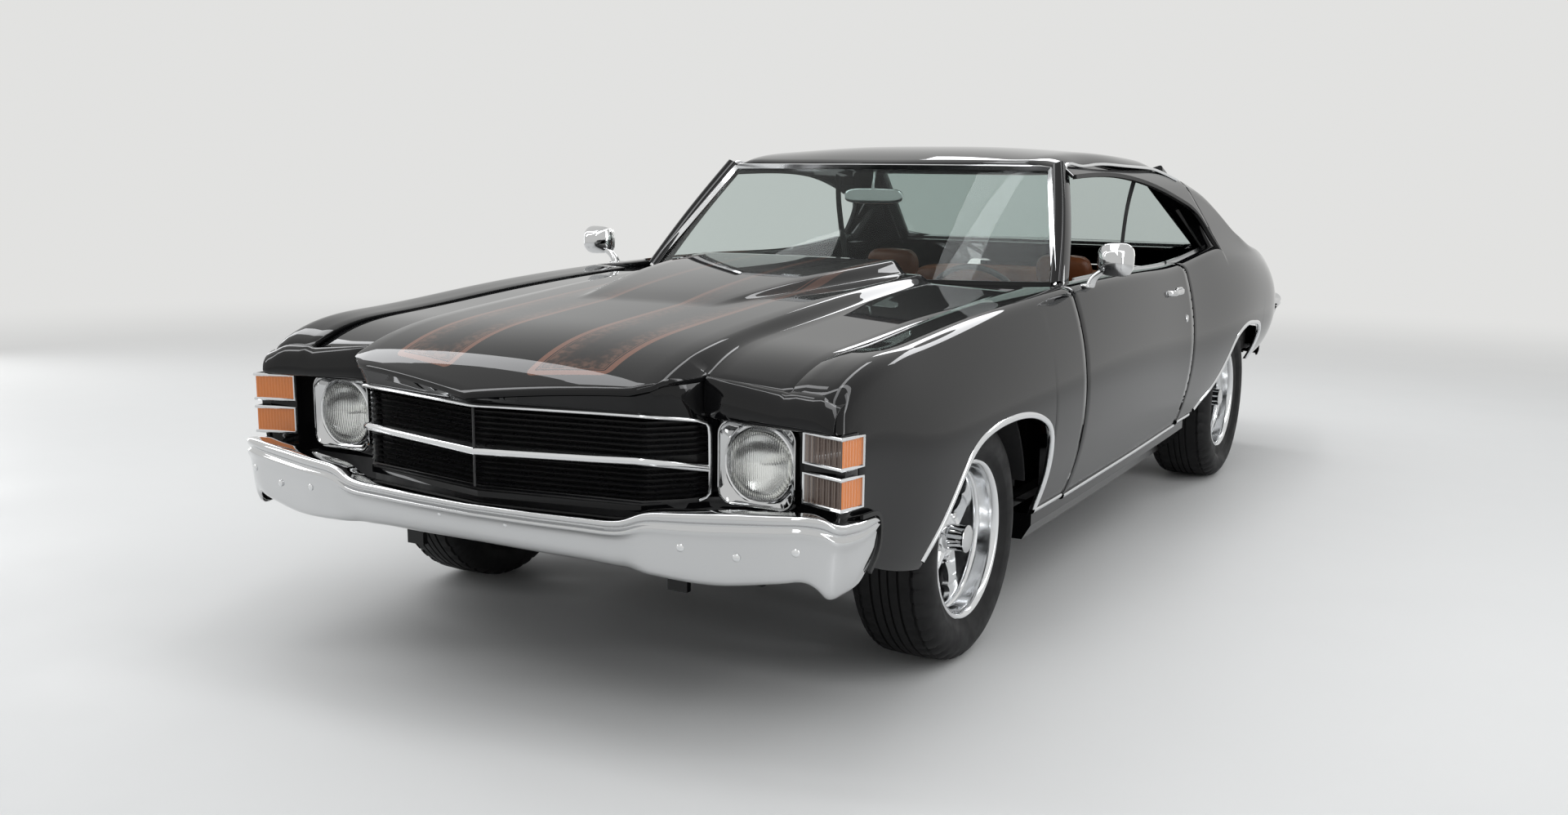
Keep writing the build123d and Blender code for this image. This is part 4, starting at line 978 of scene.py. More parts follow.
def make_filler():
    """Painted panel under the hood's front edge and a dark panel under the grille."""
    upper = []
    for x in np.linspace(0, 507, 50):
        y = along(NOSE_V, x)
        trim_y, trim_z = (along(GRILLE_TOP, x, column) for column in (1, 2))
        top = hood_z(x, max(y, -2500)) - 11
        upper.append([(x, y + 26, top - 2), (x, y + 9, top - 1), (x, y + 6, top - 5),
                      (x, lerp(y + 6, trim_y, 0.5), lerp(top, trim_z + 3, 0.5)),
                      (x, trim_y + 1, trim_z + 5), (x, trim_y + 2, trim_z - 4)])
    piece("nose_filler", *grid(both_half_rows(upper)), "paint", "paint", thick=3, angle=50)
    plan = ((0, -2450), (411, -2384), (475, -2318), (506, -2272), (540, -2252), (700, -2250), (868, -2250))
    lower = [[(x, y, 526), (x, y - 4, 520), (x, y - 2, 505), (x, y + 4, 500), (x, y + 4, 432)]
             for x, y, _ in both_halves([(a, b, 0) for a, b in plan])]
    piece("grille_valance", *grid(lower), "satin", "frame_black", thick=3, angle=50)


# Lamp forms as outlines (backwards from the lamp's face, radius)
BEZEL_RING = ((0, 92), (-5, 91), (-6, 88), (-4, 85), (2, 85), (4, 92))
BOWL = ((6, 84), (14, 82), (26, 74), (38, 58), (46, 38), (50, 16), (50, 8), (30, 7), (24, 5), (22, 0.4))
LENS = ((4, 85), (-2, 84.5), (-8, 78), (-13, 62), (-17, 40), (-19, 18), (-19.5, 0.4))
LENS_THICK = 3.5
# Square bezel, from its rim over the bright face into the hole. Columns: share of the square, radius, y
BEZEL = ((1.0, 0, 8), (1.0, 0, -14), (0.985, 0, -18), (0.965, 0, -18), (0.95, 0, -14), (0.90, 0, -9),
         (0.0, 97, -1), (0.0, 92, 1), (0.0, 90, 4), (0.0, 89, 14))


def make_lamps():
    square = rounded_square(101, 98, 36, 8)
    lens = list(LENS) + [(d + LENS_THICK, r) for d, r in reversed(LENS)]
    for side, name in BOTH:
        centre = (LAMP_X * side, LAMP_Y, LAMP_Z)
        rows = []
        for share, r, y in BEZEL:
            ring = []
            for a, b in square:
                angle = math.atan2(b, a)
                u, v = (r * math.cos(angle), r * math.sin(angle)) if r else (a * share, b * share)
                ring.append((centre[0] + u, LAMP_Y + y, LAMP_Z + v))
            rows.append(ring)
        piece(f"bezel_{name}", *grid(rows, wrap=True), "chrome", "chrome", replaces=("lamp_bezels",),
              thick=1.2, angle=50)
        piece(f"lamp_ring_{name}", *turned(BEZEL_RING, centre, "y", 56, closed=True), "trim", "chrome",
              closed=True)
        piece(f"reflector_{name}", *turned(BOWL, centre, "y"), "reflector", "chrome", closed=True, thick=1.0)
        piece(f"lens_{name}", *turned(lens, centre, "y", 56), "lens", "lamp_glass", closed=True,
              replaces=("headlamps",))


MARKER_LEVELS = ((551.0, 621.0), (639.0, 708.0))
# Marker lamps in plan, from the front over the corner to the side, and the counts of ribs of both faces
MARKER_PLAN = ((776, -2302), (884, -2338), (896, -2270))
MARKER_RIBS = (26, 14)
# Bright rim in plan, with its outward direction. Columns: x, y, out_x, out_y
MARKER_RIM = ((776, -2304, -0.30, -0.95), (830, -2322, -0.30, -0.95), (884, -2341, 0.6, -0.8),
              (890, -2306, 0.99, -0.12), (897, -2268, 0.99, -0.12))


def make_markers():
    """Lenses with upright ribs, in two faces that meet at the corner, in bright rims."""
    corners = [Vector((x, y, 0)) for x, y in MARKER_PLAN]
    plan = []
    for a, b, ribs in zip(corners, corners[1:], MARKER_RIBS):
        way = (b - a).normalized()
        out = Vector((way.y, -way.x, 0))
        plan += [a.lerp(b, i / ribs) + out * (1.2 if i % 2 else 0.0) for i in range(ribs)]
    plan.append(corners[-1])
    front_ribs = MARKER_RIBS[0]
    section = [(-4, -3), (4, -3), (4, 3), (2, 5), (-2, 5), (-4, 3)]
    for side, name in BOTH:
        for level, (z0, z1) in zip(("low", "high"), MARKER_LEVELS):
            heights = np.linspace(z0 + 5, z1 - 5, 15)
            verts, faces = grid([[(p.x, p.y, z) for p in plan] for z in heights], side)
            face_looks = [int(k % (len(plan) - 1) >= front_ribs) for k in range(len(faces))]
            front_look = "amber" if side < 0 else "smoke"
            piece(f"marker_lens_{level}_{name}", verts, faces, (front_look, "amber"), "marker",
                  replaces=("marker_lamps",), looks_by_face=face_looks, angle=25, thick=2)
            path = [(x * side, y, z1 - 2) for x, y, _, _ in MARKER_RIM]
            path += [(x * side, y, z0 + 2) for x, y, _, _ in reversed(MARKER_RIM)]
            ups = [Vector((a * side, b, 0)) for _, _, a, b in MARKER_RIM]
            piece(f"marker_rim_{level}_{name}", *swept(path, section, ups + ups[::-1], ring=True), "trim",
                  "chrome", closed=True, angle=30)
        back = [(776, -2290), (884, -2322), (888, -2270), (776, -2262)]
        rows = [[(x * side, y, z) for x, y in back] for z in (548, 711)]
        piece(f"marker_housing_{name}", *tube_between(rows), "plastic", "marker", closed=True, bevel=1.5)


# Grille lines with heights, from the centre to the outer end
GRILLE_TOP = ((0, -2477, 718), (411, -2401, 721), (470, -2345, 712), (505, -2292, 704), (508, -2270, 703))
GRILLE_PLAN = ((0, -2466), (411, -2392), (475, -2320), (506, -2272))
GRILLE_EDGE = (
    (0, -2479, 719), (150, -2451, 720), (300, -2423, 721), (405, -2403, 721), (425, -2396, 720),
    (470, -2347, 713), (500, -2304, 706), (512, -2284, 700), (517, -2277, 690), (518, -2275, 672),
    (518, -2273, 610), (518, -2272, 550), (517, -2273, 536), (510, -2278, 527), (498, -2290, 521),
)
GRILLE_BAND = ((0, -2473, 610), (150, -2447, 613), (300, -2421, 616), (405, -2402, 619), (424, -2394, 617),
               (472, -2340, 606), (505, -2290, 596), (515, -2276, 593))
# Section of a blade: up, backwards
BLADE = ((-2.2, -3), (-0.5, -13), (2.2, -3), (2.2, 14), (-2.2, 14))
BLADES = 15
BLADE_TOP, BLADE_LOW, BAND_Z = 706.0, 522.0, 612.0
AHEAD = (0, -1, 0)


def make_grille():
    bars = []
    plan = both_halves([(x, y, 0) for x, y in GRILLE_PLAN])
    for i in range(BLADES):
        z = lerp(BLADE_TOP, BLADE_LOW, i / (BLADES - 1))
        if abs(z - BAND_Z) >= 7:
            bars.append(tube_between([[(x, y + 14 + b, z + a) for a, b in BLADE] for x, y, _ in plan]))
    piece("grille_bars", *joined(*bars), "plastic", "grille_black", replaces=("grille",), closed=True,
          angle=25)
    rows = [[(x * 0.985, y + 34, z) for x, y, _ in plan] for z in (714, 516)]
    piece("grille_back", *grid(rows, -1), "plastic", "grille_black", thick=2)
    piece("grille_trim", *swept(both_halves(GRILLE_EDGE), circle(5, 12, 1.5), AHEAD), "trim", "chrome",
          closed=True)
    upright = through([(0, -2474, 712), (0, -2474, 528)], 9)
    piece("grille_upright", *swept(upright, circle(3, 8), AHEAD), "plastic", "grille_black", closed=True)
    piece("grille_band", *swept(both_halves(GRILLE_BAND), circle(9, 12, 2 / 3), AHEAD), "trim", "chrome",
          closed=True)


# Bumpers. Columns: x, y, top, bottom
FRONT_BAR = (
    (0, -2508, 494, 391), (120, -2504, 495, 389), (230, -2498, 496, 387), (330, -2489, 497, 384),
    (392, -2483, 499, 381), (415, -2481, 503, 381), (432, -2479, 509, 380), (450, -2477, 517, 379),
    (470, -2475, 524, 379), (510, -2472, 530, 377), (560, -2468, 534, 375), (640, -2457, 540, 375),
    (700, -2448, 544, 382), (760, -2437, 547, 391), (800, -2427, 549, 397), (835, -2413, 549, 400),
    (858, -2400, 547, 391), (874, -2386, 543, 378), (886, -2369, 534, 364), (895, -2345, 527, 358),
    (899, -2320, 524, 359), (901, -2290, 521, 365), (903, -2262, 519, 376), (903, -2235, 518, 392),
    (903, -2212, 517, 410), (903, -2196, 514, 434), (903, -2186, 508, 462),
)
REAR_BAR = (
    (0, 2507, 716, 552), (300, 2506, 720, 554), (500, 2502, 724, 557), (640, 2497, 727, 562),
    (780, 2487, 729, 568), (830, 2472, 728, 572), (856, 2455, 725, 578), (874, 2430, 716, 588),
    (884, 2400, 706, 600), (889, 2360, 700, 606), (892, 2310, 694, 612), (893, 2262, 686, 618),
)
# Upright section of a bumper: how far behind the face, share of the height
BAR_SECTION = (
    (58, 0.985), (36, 1.0), (14, 1.0), (5, 0.985), (1, 0.96), (0, 0.93), (1, 0.895), (5, 0.872), (10, 0.86),
    (13, 0.845), (13, 0.82), (9, 0.80), (3, 0.785), (0.8, 0.765), (1, 0.735), (5, 0.70), (11, 0.66),
    (16, 0.58), (20, 0.46), (24, 0.32), (29, 0.18), (36, 0.08), (46, 0.02), (60, 0.0),
)


def bumper_rows(table, lead):
    """Upright sections of a bumper from the centreline outwards. lead is -1 for the rear one."""
    rows = []
    line = [Vector((x, y, 0)) for x, y, _, _ in table]
    for k, (x, y, top, low) in enumerate(table):
        ahead = line[min(k + 1, len(line) - 1)] - line[max(k - 1, 0)]
        if k == 0:
            ahead = Vector((1, 0, 0))
        ahead.normalize()
        out = Vector((ahead.y, -ahead.x, 0)) * lead
        fade = smoothstep((x - 392) / 90) if lead > 0 else 0.0
        wrap = smoothstep((abs(y) - 2330) / -90)
        row = []
        for depth, share in BAR_SECTION:
            dent = depth * lerp(1.0, 0.5, fade) if share < 0.9 else depth
            dent = lerp(dent, 13 if depth > 30 else 0.4 * dent, wrap)
            p = Vector((x, y, 0)) - out * dent
            row.append((max(p.x, 0) if k == 0 else p.x, p.y, lerp(low, top, share)))
        rows.append(row)
    return rows


def densify(table, pitch):
    """A finer table by smooth curves along its path."""
    table = np.array(table, float)
    path = np.concatenate(([0], np.cumsum(np.linalg.norm(np.diff(table[:, :2], axis=0), axis=1))))
    curve = Smooth(np.column_stack((path, table)))
    return [tuple(curve(s)) for s in np.linspace(0, path[-1], round(path[-1] / pitch))]


# Section of a bolt head. Columns: share of the height, share of the radius
BOLT_HEAD = ((0.4, 1.0), (0.75, 0.86), (1.0, 0.5), (1.05, 0.02))


def bolt(centre, out, r, height, count=16):
    """A low round bolt head that stands out from an upright surface."""
    out = Vector(out).normalized()
    u = out.cross(Vector((0, 0, 1))).normalized()
    v = out.cross(u)
    rings = []
    for h, k in [(-4, 1.0)] + [(share * height, k) for share, k in BOLT_HEAD]:
        rings.append([
            tuple(Vector(centre) + out * h + (u * math.cos(t) + v * math.sin(t)) * r * k)
            for t in np.linspace(0, 2 * math.pi, count, endpoint=False)
        ])
    return tube_between(rings)


# Bolt heads on the front bumper. Columns: x, y, z, lean outwards, radius
BOLTS = ((100, -2486, 452, 0.16, 6), (560, -2458, 456, 0.16, 9), (690, -2440, 448, 0.16, 9),
         (816, -2410, 470, 0.35, 9))
BUMPER_SEAL = ((898, -2262, 527), (900, -2215, 526), (901, -2190, 521), (902, -2178, 506), (902, -2174, 484),
               (902, -2178, 452), (901, -2196, 420), (900, -2222, 396))


def make_bumpers():
    for table, lead, name in ((FRONT_BAR, 1, "front"), (REAR_BAR, -1, "rear")):
        rows = both_half_rows(bumper_rows(densify(table, 9.0), lead))
        piece(f"{name}_bumper_bar", *grid(rows, lead), "chrome", "chrome", replaces=(f"{name}_bumper",),
              thick=3, bevel=1.0, angle=60)
    heads = []
    for side in (1, -1):
        heads += [bolt((x * side, y, z), (lean * side, -1, 0), r, 5) for x, y, z, lean, r in BOLTS]
    piece("bumper_bolts", *joined(*heads), "trim", "chrome", closed=True, angle=35)
    slot_path = [(-50, -2485, 452), (-44, -2482, 436), (0, -2481, 426), (44, -2482, 436), (50, -2485, 452)]
    piece("bumper_slot", *swept(through(slot_path, 17), circle(2.6, 8), AHEAD), "trim", "chrome",
          closed=True)
    for side, name in BOTH:
        path = through([(x * side, y, z) for x, y, z in BUMPER_SEAL], 26)
        piece(f"bumper_seal_{name}", *swept(path, block(5, -7, 1), (side, 0, 0)), "seal", "frame_black",
              closed=True, angle=40)


# Wheels


def rim_outline(h):
    """Barrel with its lips, from the outer side inwards: (offset along the axle, radius)."""
    return [
        (h - 8, 204), (h - 5, 209), (h - 1.5, 210), (h, 207.5), (h - 0.5, 203), (h - 4, 198),
        (h - 12, 194.5), (h - 22, 193), (h - 46, 191), (h - 52, 189), (h - 55, 184), (h - 60, 181.5),
        (h - 66, 181), (h - 100, 180), (-h + 10, 182), (-h + 3, 196), (-h, 205), (-h + 2, 209),
        (-h + 8, 204), (-h + 10, 196), (0, 190), (h - 60, 190), (h - 42, 197), (h - 12, 200),
    ]


# Spoke from the hub to the barrel. Columns: radius, half width, front offset, depth
SPOKE = ((38, 31, 2, 34), (56, 31, 1, 34), (80, 27, -2, 32), (110, 22, -6, 29), (140, 19.5, -11, 27),
         (165, 21, -16, 26), (178, 26, -20, 27), (186, 31, -24, 28))
# Its section, in shares of the half width and of the depth
SPOKE_SECTION = ((-1, -0.38), (-0.55, -0.02), (0, 0.16), (0.55, -0.02), (1, -0.38), (0.94, -1), (-0.94, -1))


def wheel_spoke(angle, side, centre, face):
    """One spoke: a wedge with a raised middle, wide at the hub and at the barrel."""
    x, y, z = centre
    ca, sa = math.cos(angle), math.sin(angle)
    rings = []
    for r, half, front, deep in SPOKE:
        ring = []
        for a, b in SPOKE_SECTION:
            out = face + front + b * deep
            ring.append((x + out * side, y + r * ca - a * half * sa, z + r * sa + a * half * ca))
        rings.append(ring)
    return tube_between(rings)


# Wheels. Columns: end, x, y, radius, widths of tyre and rim, how far the cap stands out of the face
WHEELS = (
    ("front", 768.0, FRONT_AXLE_Y, 322.0, 222.0, 190.0, 60.0),
    ("rear", 762.0, REAR_AXLE_Y, 343.0, 255.0, 216.0, 58.0),
)
NUT_CIRCLE = 60.3
RIM_BEAD = 214.0
GROOVE = 6.0


def make_rim(body, end, name, side, centre, h, stand):
    """Rim with five spokes, cap and nuts. h is half the rim's width."""
    face = h - 62
    rim = turned(rim_outline(h), centre, "x", 96, side, closed=True)
    hub = [(face - 40, 30), (face - 40, 58), (face - 8, 58), (face + 2, 54), (face + 5, 50), (face + 6, 40),
           (face + 6, 34), (face - 20, 30)]
    hub_form = turned(hub, centre, "x", 60, side, closed=True)
    spokes = [wheel_spoke(math.radians(90 + 72 * i), side, centre, face) for i in range(5)]
    piece(f"{end}_rim_form_{name}", *joined(rim, hub_form, *spokes), "alloy", "wheel", body=body,
          closed=True, replaces=(f"{end}_rim_{name}",), angle=32)
    top = face + stand
    cap = [(face + 2, 35), (top - 12, 34.5), (top - 9, 36.5), (top - 4, 36.5), (top - 2, 34), (top, 28),
           (top + 0.8, 14), (top + 1, 0.4)]
    piece(f"{end}_cap_{name}", *turned(cap, centre, "x", 48, side), "chrome", "wheel", body=body,
          closed=True)
    nut = [(face - 24, 15), (face - 10, 15), (face - 9, 12), (face - 8, 10.5), (face + 3, 10.5),
           (face + 6, 8.5), (face + 7.5, 5), (face + 8, 0.4)]
    nuts = []
    for i in range(5):
        a = math.radians(90 + 36 + 72 * i)
        place = (centre[0], centre[1] + NUT_CIRCLE * math.cos(a), centre[2] + NUT_CIRCLE * math.sin(a))
        nuts.append(turned(nut, place, "x", 12, side))
    piece(f"{end}_nuts_{name}", *joined(*nuts), "chrome", "wheel", body=body, closed=True, angle=25)


def make_tyre(body, end, name, side, centre, r, w, h):
    """Tyre with grooves round it and cuts across its shoulders. w and h are half its width and the rim's."""
    half = [
        (0, 0), (8, 0), (9, -6), (13, -6), (14, 0), (34, -0.4), (35, -7), (40, -7), (41, -0.8),
        (0.60 * w, -1.6), (0.62 * w, -8), (0.67 * w, -8), (0.69 * w, -3), (0.80 * w, -9), (0.86 * w, -16),
        (0.93 * w, -27), (0.985 * w, -42), (w, -56), (0.995 * w, -68), (0.975 * w, -80), (0.965 * w, -84),
        (0.95 * w, -86), (0.90 * w, -97), (0.88 * w, -99),
    ]
    loop = [(a, r + b) for a, b in half if r + b > RIM_BEAD]
    loop += [(h - 1, 213), (h - 4, 207), (h - 12, 202), (h - 26, 200), (0.80 * w, r - 60),
             (0.72 * w, r - 24)]
    outline = [(-a, b) for a, b in reversed(loop) if a > 0.01] + loop
    outline = outline[1:-1] + [(0.5 * w, r - 17), (-0.5 * w, r - 17)]
    verts, faces = turned(outline, centre, "x", 180, side, closed=True)
    _, y, z = centre
    shaped = []
    for i, v in enumerate(verts):
        k, j = divmod(i, len(outline))
        a, b = outline[j]
        if k % 4 == 0 and 0.56 * w < abs(a) < 0.90 * w and b > r - 24:
            cut = GROOVE / math.hypot(v[1] - y, v[2] - z)
            v = (v[0], lerp(v[1], y, cut), lerp(v[2], z, cut))
        shaped.append(v)
    piece(f"{end}_tyre_form_{name}", shaped, faces, "rubber", "tyre", body=body, closed=True,
          replaces=(f"{end}_tyre_{name}",), angle=30)


def make_wheels():
    for side, name in BOTH:
        for end, x, y, r, tyre_w, rim_w, stand in WHEELS:
            centre = (x * side, y, r)
            body = f"{end}_wheel_{name}"
            make_rim(body, end, name, side, centre, rim_w / 2, stand)
            make_tyre(body, end, name, side, centre, r, tyre_w / 2, rim_w / 2)


# Trim


# Sections of the bright strips. Columns: along the body side, how far they stand out
ARCH_STRIP = ((0.5, -14), (-1.5, -12), (-1.5, 1), (1, 4), (5, 5.2), (10, 5), (14, 3.6), (16.5, -1))
ROCKER_STRIP = ((13, -2), (13, 3), (10, 6), (4, 6.5), (-1, 5), (-4, 0), (-5, -16))
DRIP_RAIL = ((774, -646, 934), (742, -560, 1030), (690, -430, 1166), (650, -326, 1272), (648, -300, 1294),
             (650, -200, 1301), (652, 0, 1306), (653, 300, 1308), (653, 600, 1306), (652, 760, 1301),
             (664, 880, 1286), (690, 985, 1262))
DRIP_SECTION = ((-2, -5), (6, -5), (8, -2), (8, 2), (6, 5), (-2, 5))
# Seal round the side window: y, z
WINDOW_SEAL = ((1054, 966), (1040, 1044), (1006, 1118), (876, 1176), (610, 1231), (350, 1263), (-23, 1271),
               (-300, 1261))


def make_mouldings():
    """Bright strips round the wheel openings, along the sills, the roof rail and the belt line."""
    for side, name in BOTH:
        for end, arch in (("front", front_arch), ("rear", rear_arch)):
            samples = [p for p in arch if p[1] > side_table(p[0])[5] + 2]
            rows = []
            for i, (y, z) in enumerate(samples):
                a, b = samples[max(i - 1, 0)], samples[min(i + 1, len(samples) - 1)]
                t = Vector((b[0] - a[0], b[1] - a[1])).normalized()
                places = [(y - t.y * off, z + t.x * off, proud) for off, proud in ARCH_STRIP]
                rows.append([((side_x(yy, zz) + proud) * side, yy, zz) for yy, zz, proud in places])
            piece(f"{end}_arch_trim_{name}", *grid(rows), "trim", "chrome", closed=True, angle=50)
        rows = []
        for y in np.linspace(-1138, 640, 60):
            z = side_table(y)[5]
            rows.append([((side_x(y, z + dz) + out) * side, y, z + dz) for dz, out in ROCKER_STRIP])
        front_y, rear_y = DOOR_FRONT_Y - 8, DOOR_REAR_Y + 6
        front = [r for r in rows if r[0][1] < front_y]
        back = [r for r in rows if r[0][1] > rear_y]
        lowered = [[(x - 3 * side, y, z - 9) for x, y, z in r] for r in rows if front_y <= r[0][1] <= rear_y]
        for part, part_rows in (("front", front), ("rear", back), ("sill", lowered)):
            piece(f"{part}_rocker_trim_{name}", *grid(part_rows), "trim", "chrome", closed=True, angle=50)
        path = through([(x * side, y, z) for x, y, z in DRIP_RAIL], 70)
        piece(f"drip_rail_{name}", *swept(path, DRIP_SECTION), "trim", "chrome", closed=True, angle=40)
        path = [((blend_x(y, z) - 5) * side, y, z) for y, z in through(WINDOW_SEAL, 60)]
        piece(f"window_seal_{name}", *swept(path, block(7, -7, 7), (side, 0, 0.2)), "seal", "frame_black",
              closed=True, angle=40)
        for label, body, start, end, count in (("belt_trim", f"door_{name}", -640, 440, 30),
                                               ("quarter_belt", "body", 466, 1040, 20)):
            ys = np.linspace(start, end, count)
            belt = [((side_table(y)[0] - 84) * side, y, side_table(y)[1] + 2) for y in ys]
            piece(f"{label}_{name}", *swept(belt, block(3, -8, 4)), "trim", "chrome", body=body, closed=True,
                  angle=40)


def outward(path, reach, beside, above):
    """Outward directions round a glass: beside where the path is further out than reach, else above."""
    ups = []
    for x, _, _ in path:
        across, *rest = beside
        ups.append(Vector((across if x > 0 else -across, *rest)) if abs(x) > reach else Vector(above))
    return ups


# Pillars. Columns: name, foot, head, how far its middle bows out, half width, half depth, corner radius
PILLARS = (
    ("pillar", (762, -640, 918), (634, -300, 1288), 9, (31, 21, 9)),
    ("rear_pillar", (735, 1410, 980), (622, 886, 1282), 0, (34, 40, 12)),
)


def glass_edge(lower, upper, bow, reach, lift):
    """Points round the edge of a curved glass: up one side, over the top and down the other."""
    (lx, ly, lz), (ux, uy, uz) = lower, upper
    side_run = [(lerp(lx, ux, t), lerp(ly, uy, t) - lift, lerp(lz, uz, t)) for t in np.linspace(0, 1, 12)]
    top = []
    for x in np.linspace(ux, -ux, 41)[1:-1]:
        top.append((x, uy + bow * (1 - (x / ux) ** 2) - lift, uz + reach))
    return side_run + top + [(-x, y, z) for x, y, z in reversed(side_run)]


def make_glass_trim():
    """Strips round the windshield and the rear window, the pillars beside them and the headliner."""
    band = [(-4, -9), (0, -10), (3, -6), (3, 6), (0, 10), (-4, 9)]
    path = glass_edge((758, -655, 926), (608, -318, 1284), -92, 4, 10)
    ups = outward(path, 607, (0.9, -0.35, 0.2), (0, -0.4, 1))
    piece("windshield_trim", *swept(path, band, ups), "trim", "chrome", closed=True, angle=40)
    path = glass_edge((704, 1404, 985), (602, 884, 1281), 45, 3, -12)
    ups = outward(path, 601, (0.9, 0.3, 0.3), (0, 0.5, 1))
    piece("rear_window_trim", *swept(path, band, ups), "trim", "chrome", closed=True, angle=40)
    low = [(x, -655 - 205 * (1 - (x / 752) ** 2) - 6, 931) for x in np.linspace(-745, 745, 41)]
    piece("windshield_seal", *swept(low, block(6, -6, 6)), "seal", "frame_black", closed=True, angle=40)
    for side, name in BOTH:
        for label, foot, head, bow, size in PILLARS:
            a, b = (Vector((x * side, y, z)) for x, y, z in (foot, head))
            path = [a.lerp(b, t) + Vector((bow * side * math.sin(math.pi * t), 0, 0)) for t in
                    np.linspace(0, 1, 14)]
            section = rounded_square(*size, 3)
            piece(f"{label}_{name}", *swept(path, section, (side, 0, 0.3)), "paint", "paint", closed=True,
                  angle=40)
    rows = roof_sheet(-300, 88, 872, 20, range(3, ROOF_POINTS - 3))
    rows = [[(x * 0.97, y, z - 24) for x, y, z in row] for row in rows]
    piece("headliner", *grid(rows), "webbing", "dash", thick=4)


def pillow(size, power=5.0, count=18):
    """A rounded closed form in a box of half sizes."""
    verts, faces, seen = [], [], {}
    steps = [math.sin(lerp(-1, 1, i / count) * math.pi / 2) * 0.999 for i in range(count + 1)]
    for axis in range(3):
        for sign in (1, -1):
            ids = []
            for u in steps:
                line = []
                for v in steps:
                    p = [0.0, 0.0, 0.0]
                    p[axis], p[(axis + 1) % 3], p[(axis + 2) % 3] = float(sign), u, v
                    norm = sum(abs(c) ** power for c in p) ** (1 / power)
                    q = tuple(round(c / norm * s, 4) for c, s in zip(p, size))
                    if q not in seen:
                        seen[q] = len(verts)
                        verts.append(q)
                    line.append(seen[q])
                ids.append(line)
            for i in range(count):
                for j in range(count):
                    quad = (ids[i][j], ids[i + 1][j], ids[i + 1][j + 1], ids[i][j + 1])
                    faces.append(quad if sign > 0 else quad[::-1])
    return verts, faces


def rounded(name, size, place, look, slot, body="body", power=5.0, count=12, replaces=(), shape=None):
    """A rounded form put in place by a matrix in mm."""
    verts, faces = pillow(size, power, count)
    if shape:
        verts = [shape(*v) for v in verts]
    verts = [tuple(place @ Vector(v)) for v in verts]
    return piece(name, verts, faces, look, slot, body=body, closed=True, merge=0.6, angle=180,
                 replaces=replaces)


MIRROR = (957.0, -715.0, 1016.0)
# Door handle: out from the body side, y, z
HANDLE = ((-12, 150, 861), (6, 156, 861), (19, 172, 861), (21, 215, 861), (21, 262, 861), (17, 300, 861),
          (5, 318, 861), (-12, 322, 861))
LOCK = ((-4, 14), (1.5, 14), (3.5, 12), (4.0, 6), (3.2, 5), (3.2, 0.4))


def mirror_shape(a, b, c):
    """Narrows the mirror's shell forwards and cuts its rear flat."""
    t = (b + 40) / 80
    k = lerp(0.62, 1.0, smoothstep(t * 1.4))
    return (a * k + 6 * (1 - t), min(b, 36), c * k * (1 + 0.05 * a / 60))


def make_mirrors():
    """Mirror, handle and lock of each door."""
    x, y, z = MIRROR
    for side, name in BOTH:
        body = f"door_{name}"
        flip = Matrix.Diagonal((side, 1, 1, 1))
        rounded(f"mirror_{name}", (55.5, 40, 50), Matrix.Translation((x * side, y - 12, z)) @ flip, "chrome",
                "chrome", body, 3.6, 14, (f"door_trim_{name}",), mirror_shape)
        rounded(f"mirror_glass_{name}", (53, 2.2, 42), Matrix.Translation((x * side, y + 25, z)) @ flip,
                "reflector", "chrome", body, 4.5, 8)
        stalk = [(884, y + 6, 934), (893, y + 4, 956), (915, y, 976), (938, y - 6, 992)]
        path = through([(a * side, b, c) for a, b, c in stalk], 14)
        sizes = list(np.linspace(1.5, 0.9, 14))
        piece(f"mirror_stalk_{name}", *swept(path, circle(9, 14, 1.5), (0, 1, 0), scales=sizes), "chrome",
              "chrome", body=body, closed=True, angle=60)
        foot = Matrix.Translation(((side_table(y)[0] - 14) * side, y + 4, 936))
        rounded(f"mirror_foot_{name}", (17, 40, 7), foot, "chrome", "chrome", body, 3.5, 8)
        out = side_x(238, 860)
        path = through([((out + a) * side, b, c) for a, b, c in HANDLE], 40)
        piece(f"handle_{name}", *swept(path, circle(3, 14, 10 / 3)), "chrome", "chrome", body=body,
              closed=True, angle=60)
        cup = Matrix.Translation(((out + 2) * side, 300, 861))
        rounded(f"handle_cup_{name}", (5, 44, 15), cup, "chrome", "chrome", body, 3.0, 8)
        place = (side_x(362, 757) * side, 362, 757)
        piece(f"door_lock_{name}", *turned(LOCK, place, "x", 28, side), "chrome", "chrome", body=body,
              closed=True, angle=35)


# Inside


def inflated(obj, cap, voxel=0.014):
    """Cloth under pressure from within, with each point's way capped, then one subdivision."""
    again = obj.modifiers.new("remesh", "REMESH")
    again.mode = "VOXEL"
    again.voxel_size = voxel
    baked(obj)
    rest = np.array([v.co[:] for v in obj.data.vertices])
    cloth = obj.modifiers.new("cloth", "CLOTH")
    cloth.settings.quality = 4
    cloth.settings.use_pressure = True
    cloth.settings.uniform_pressure_force = 4.0
    cloth.settings.effector_weights.gravity = 0.0
    scene = bpy.context.scene
    for step in range(1, 21):
        scene.frame_set(step)
    graph = bpy.context.evaluated_depsgraph_get()
    moved = obj.evaluated_get(graph).to_mesh()
    now = np.array([v.co[:] for v in moved.vertices])
    obj.evaluated_get(graph).to_mesh_clear()
    obj.modifiers.clear()
    scene.frame_set(1)
    way = now - rest
    length = np.linalg.norm(way, axis=1, keepdims=True)
    way *= np.minimum(1.0, cap / np.maximum(length, 1e-9))
    for v, place in zip(obj.data.vertices, rest + way):
        v.co = place
    sub = obj.modifiers.new("round", "SUBSURF")
    sub.levels = sub.render_levels = 1
    baked(obj)


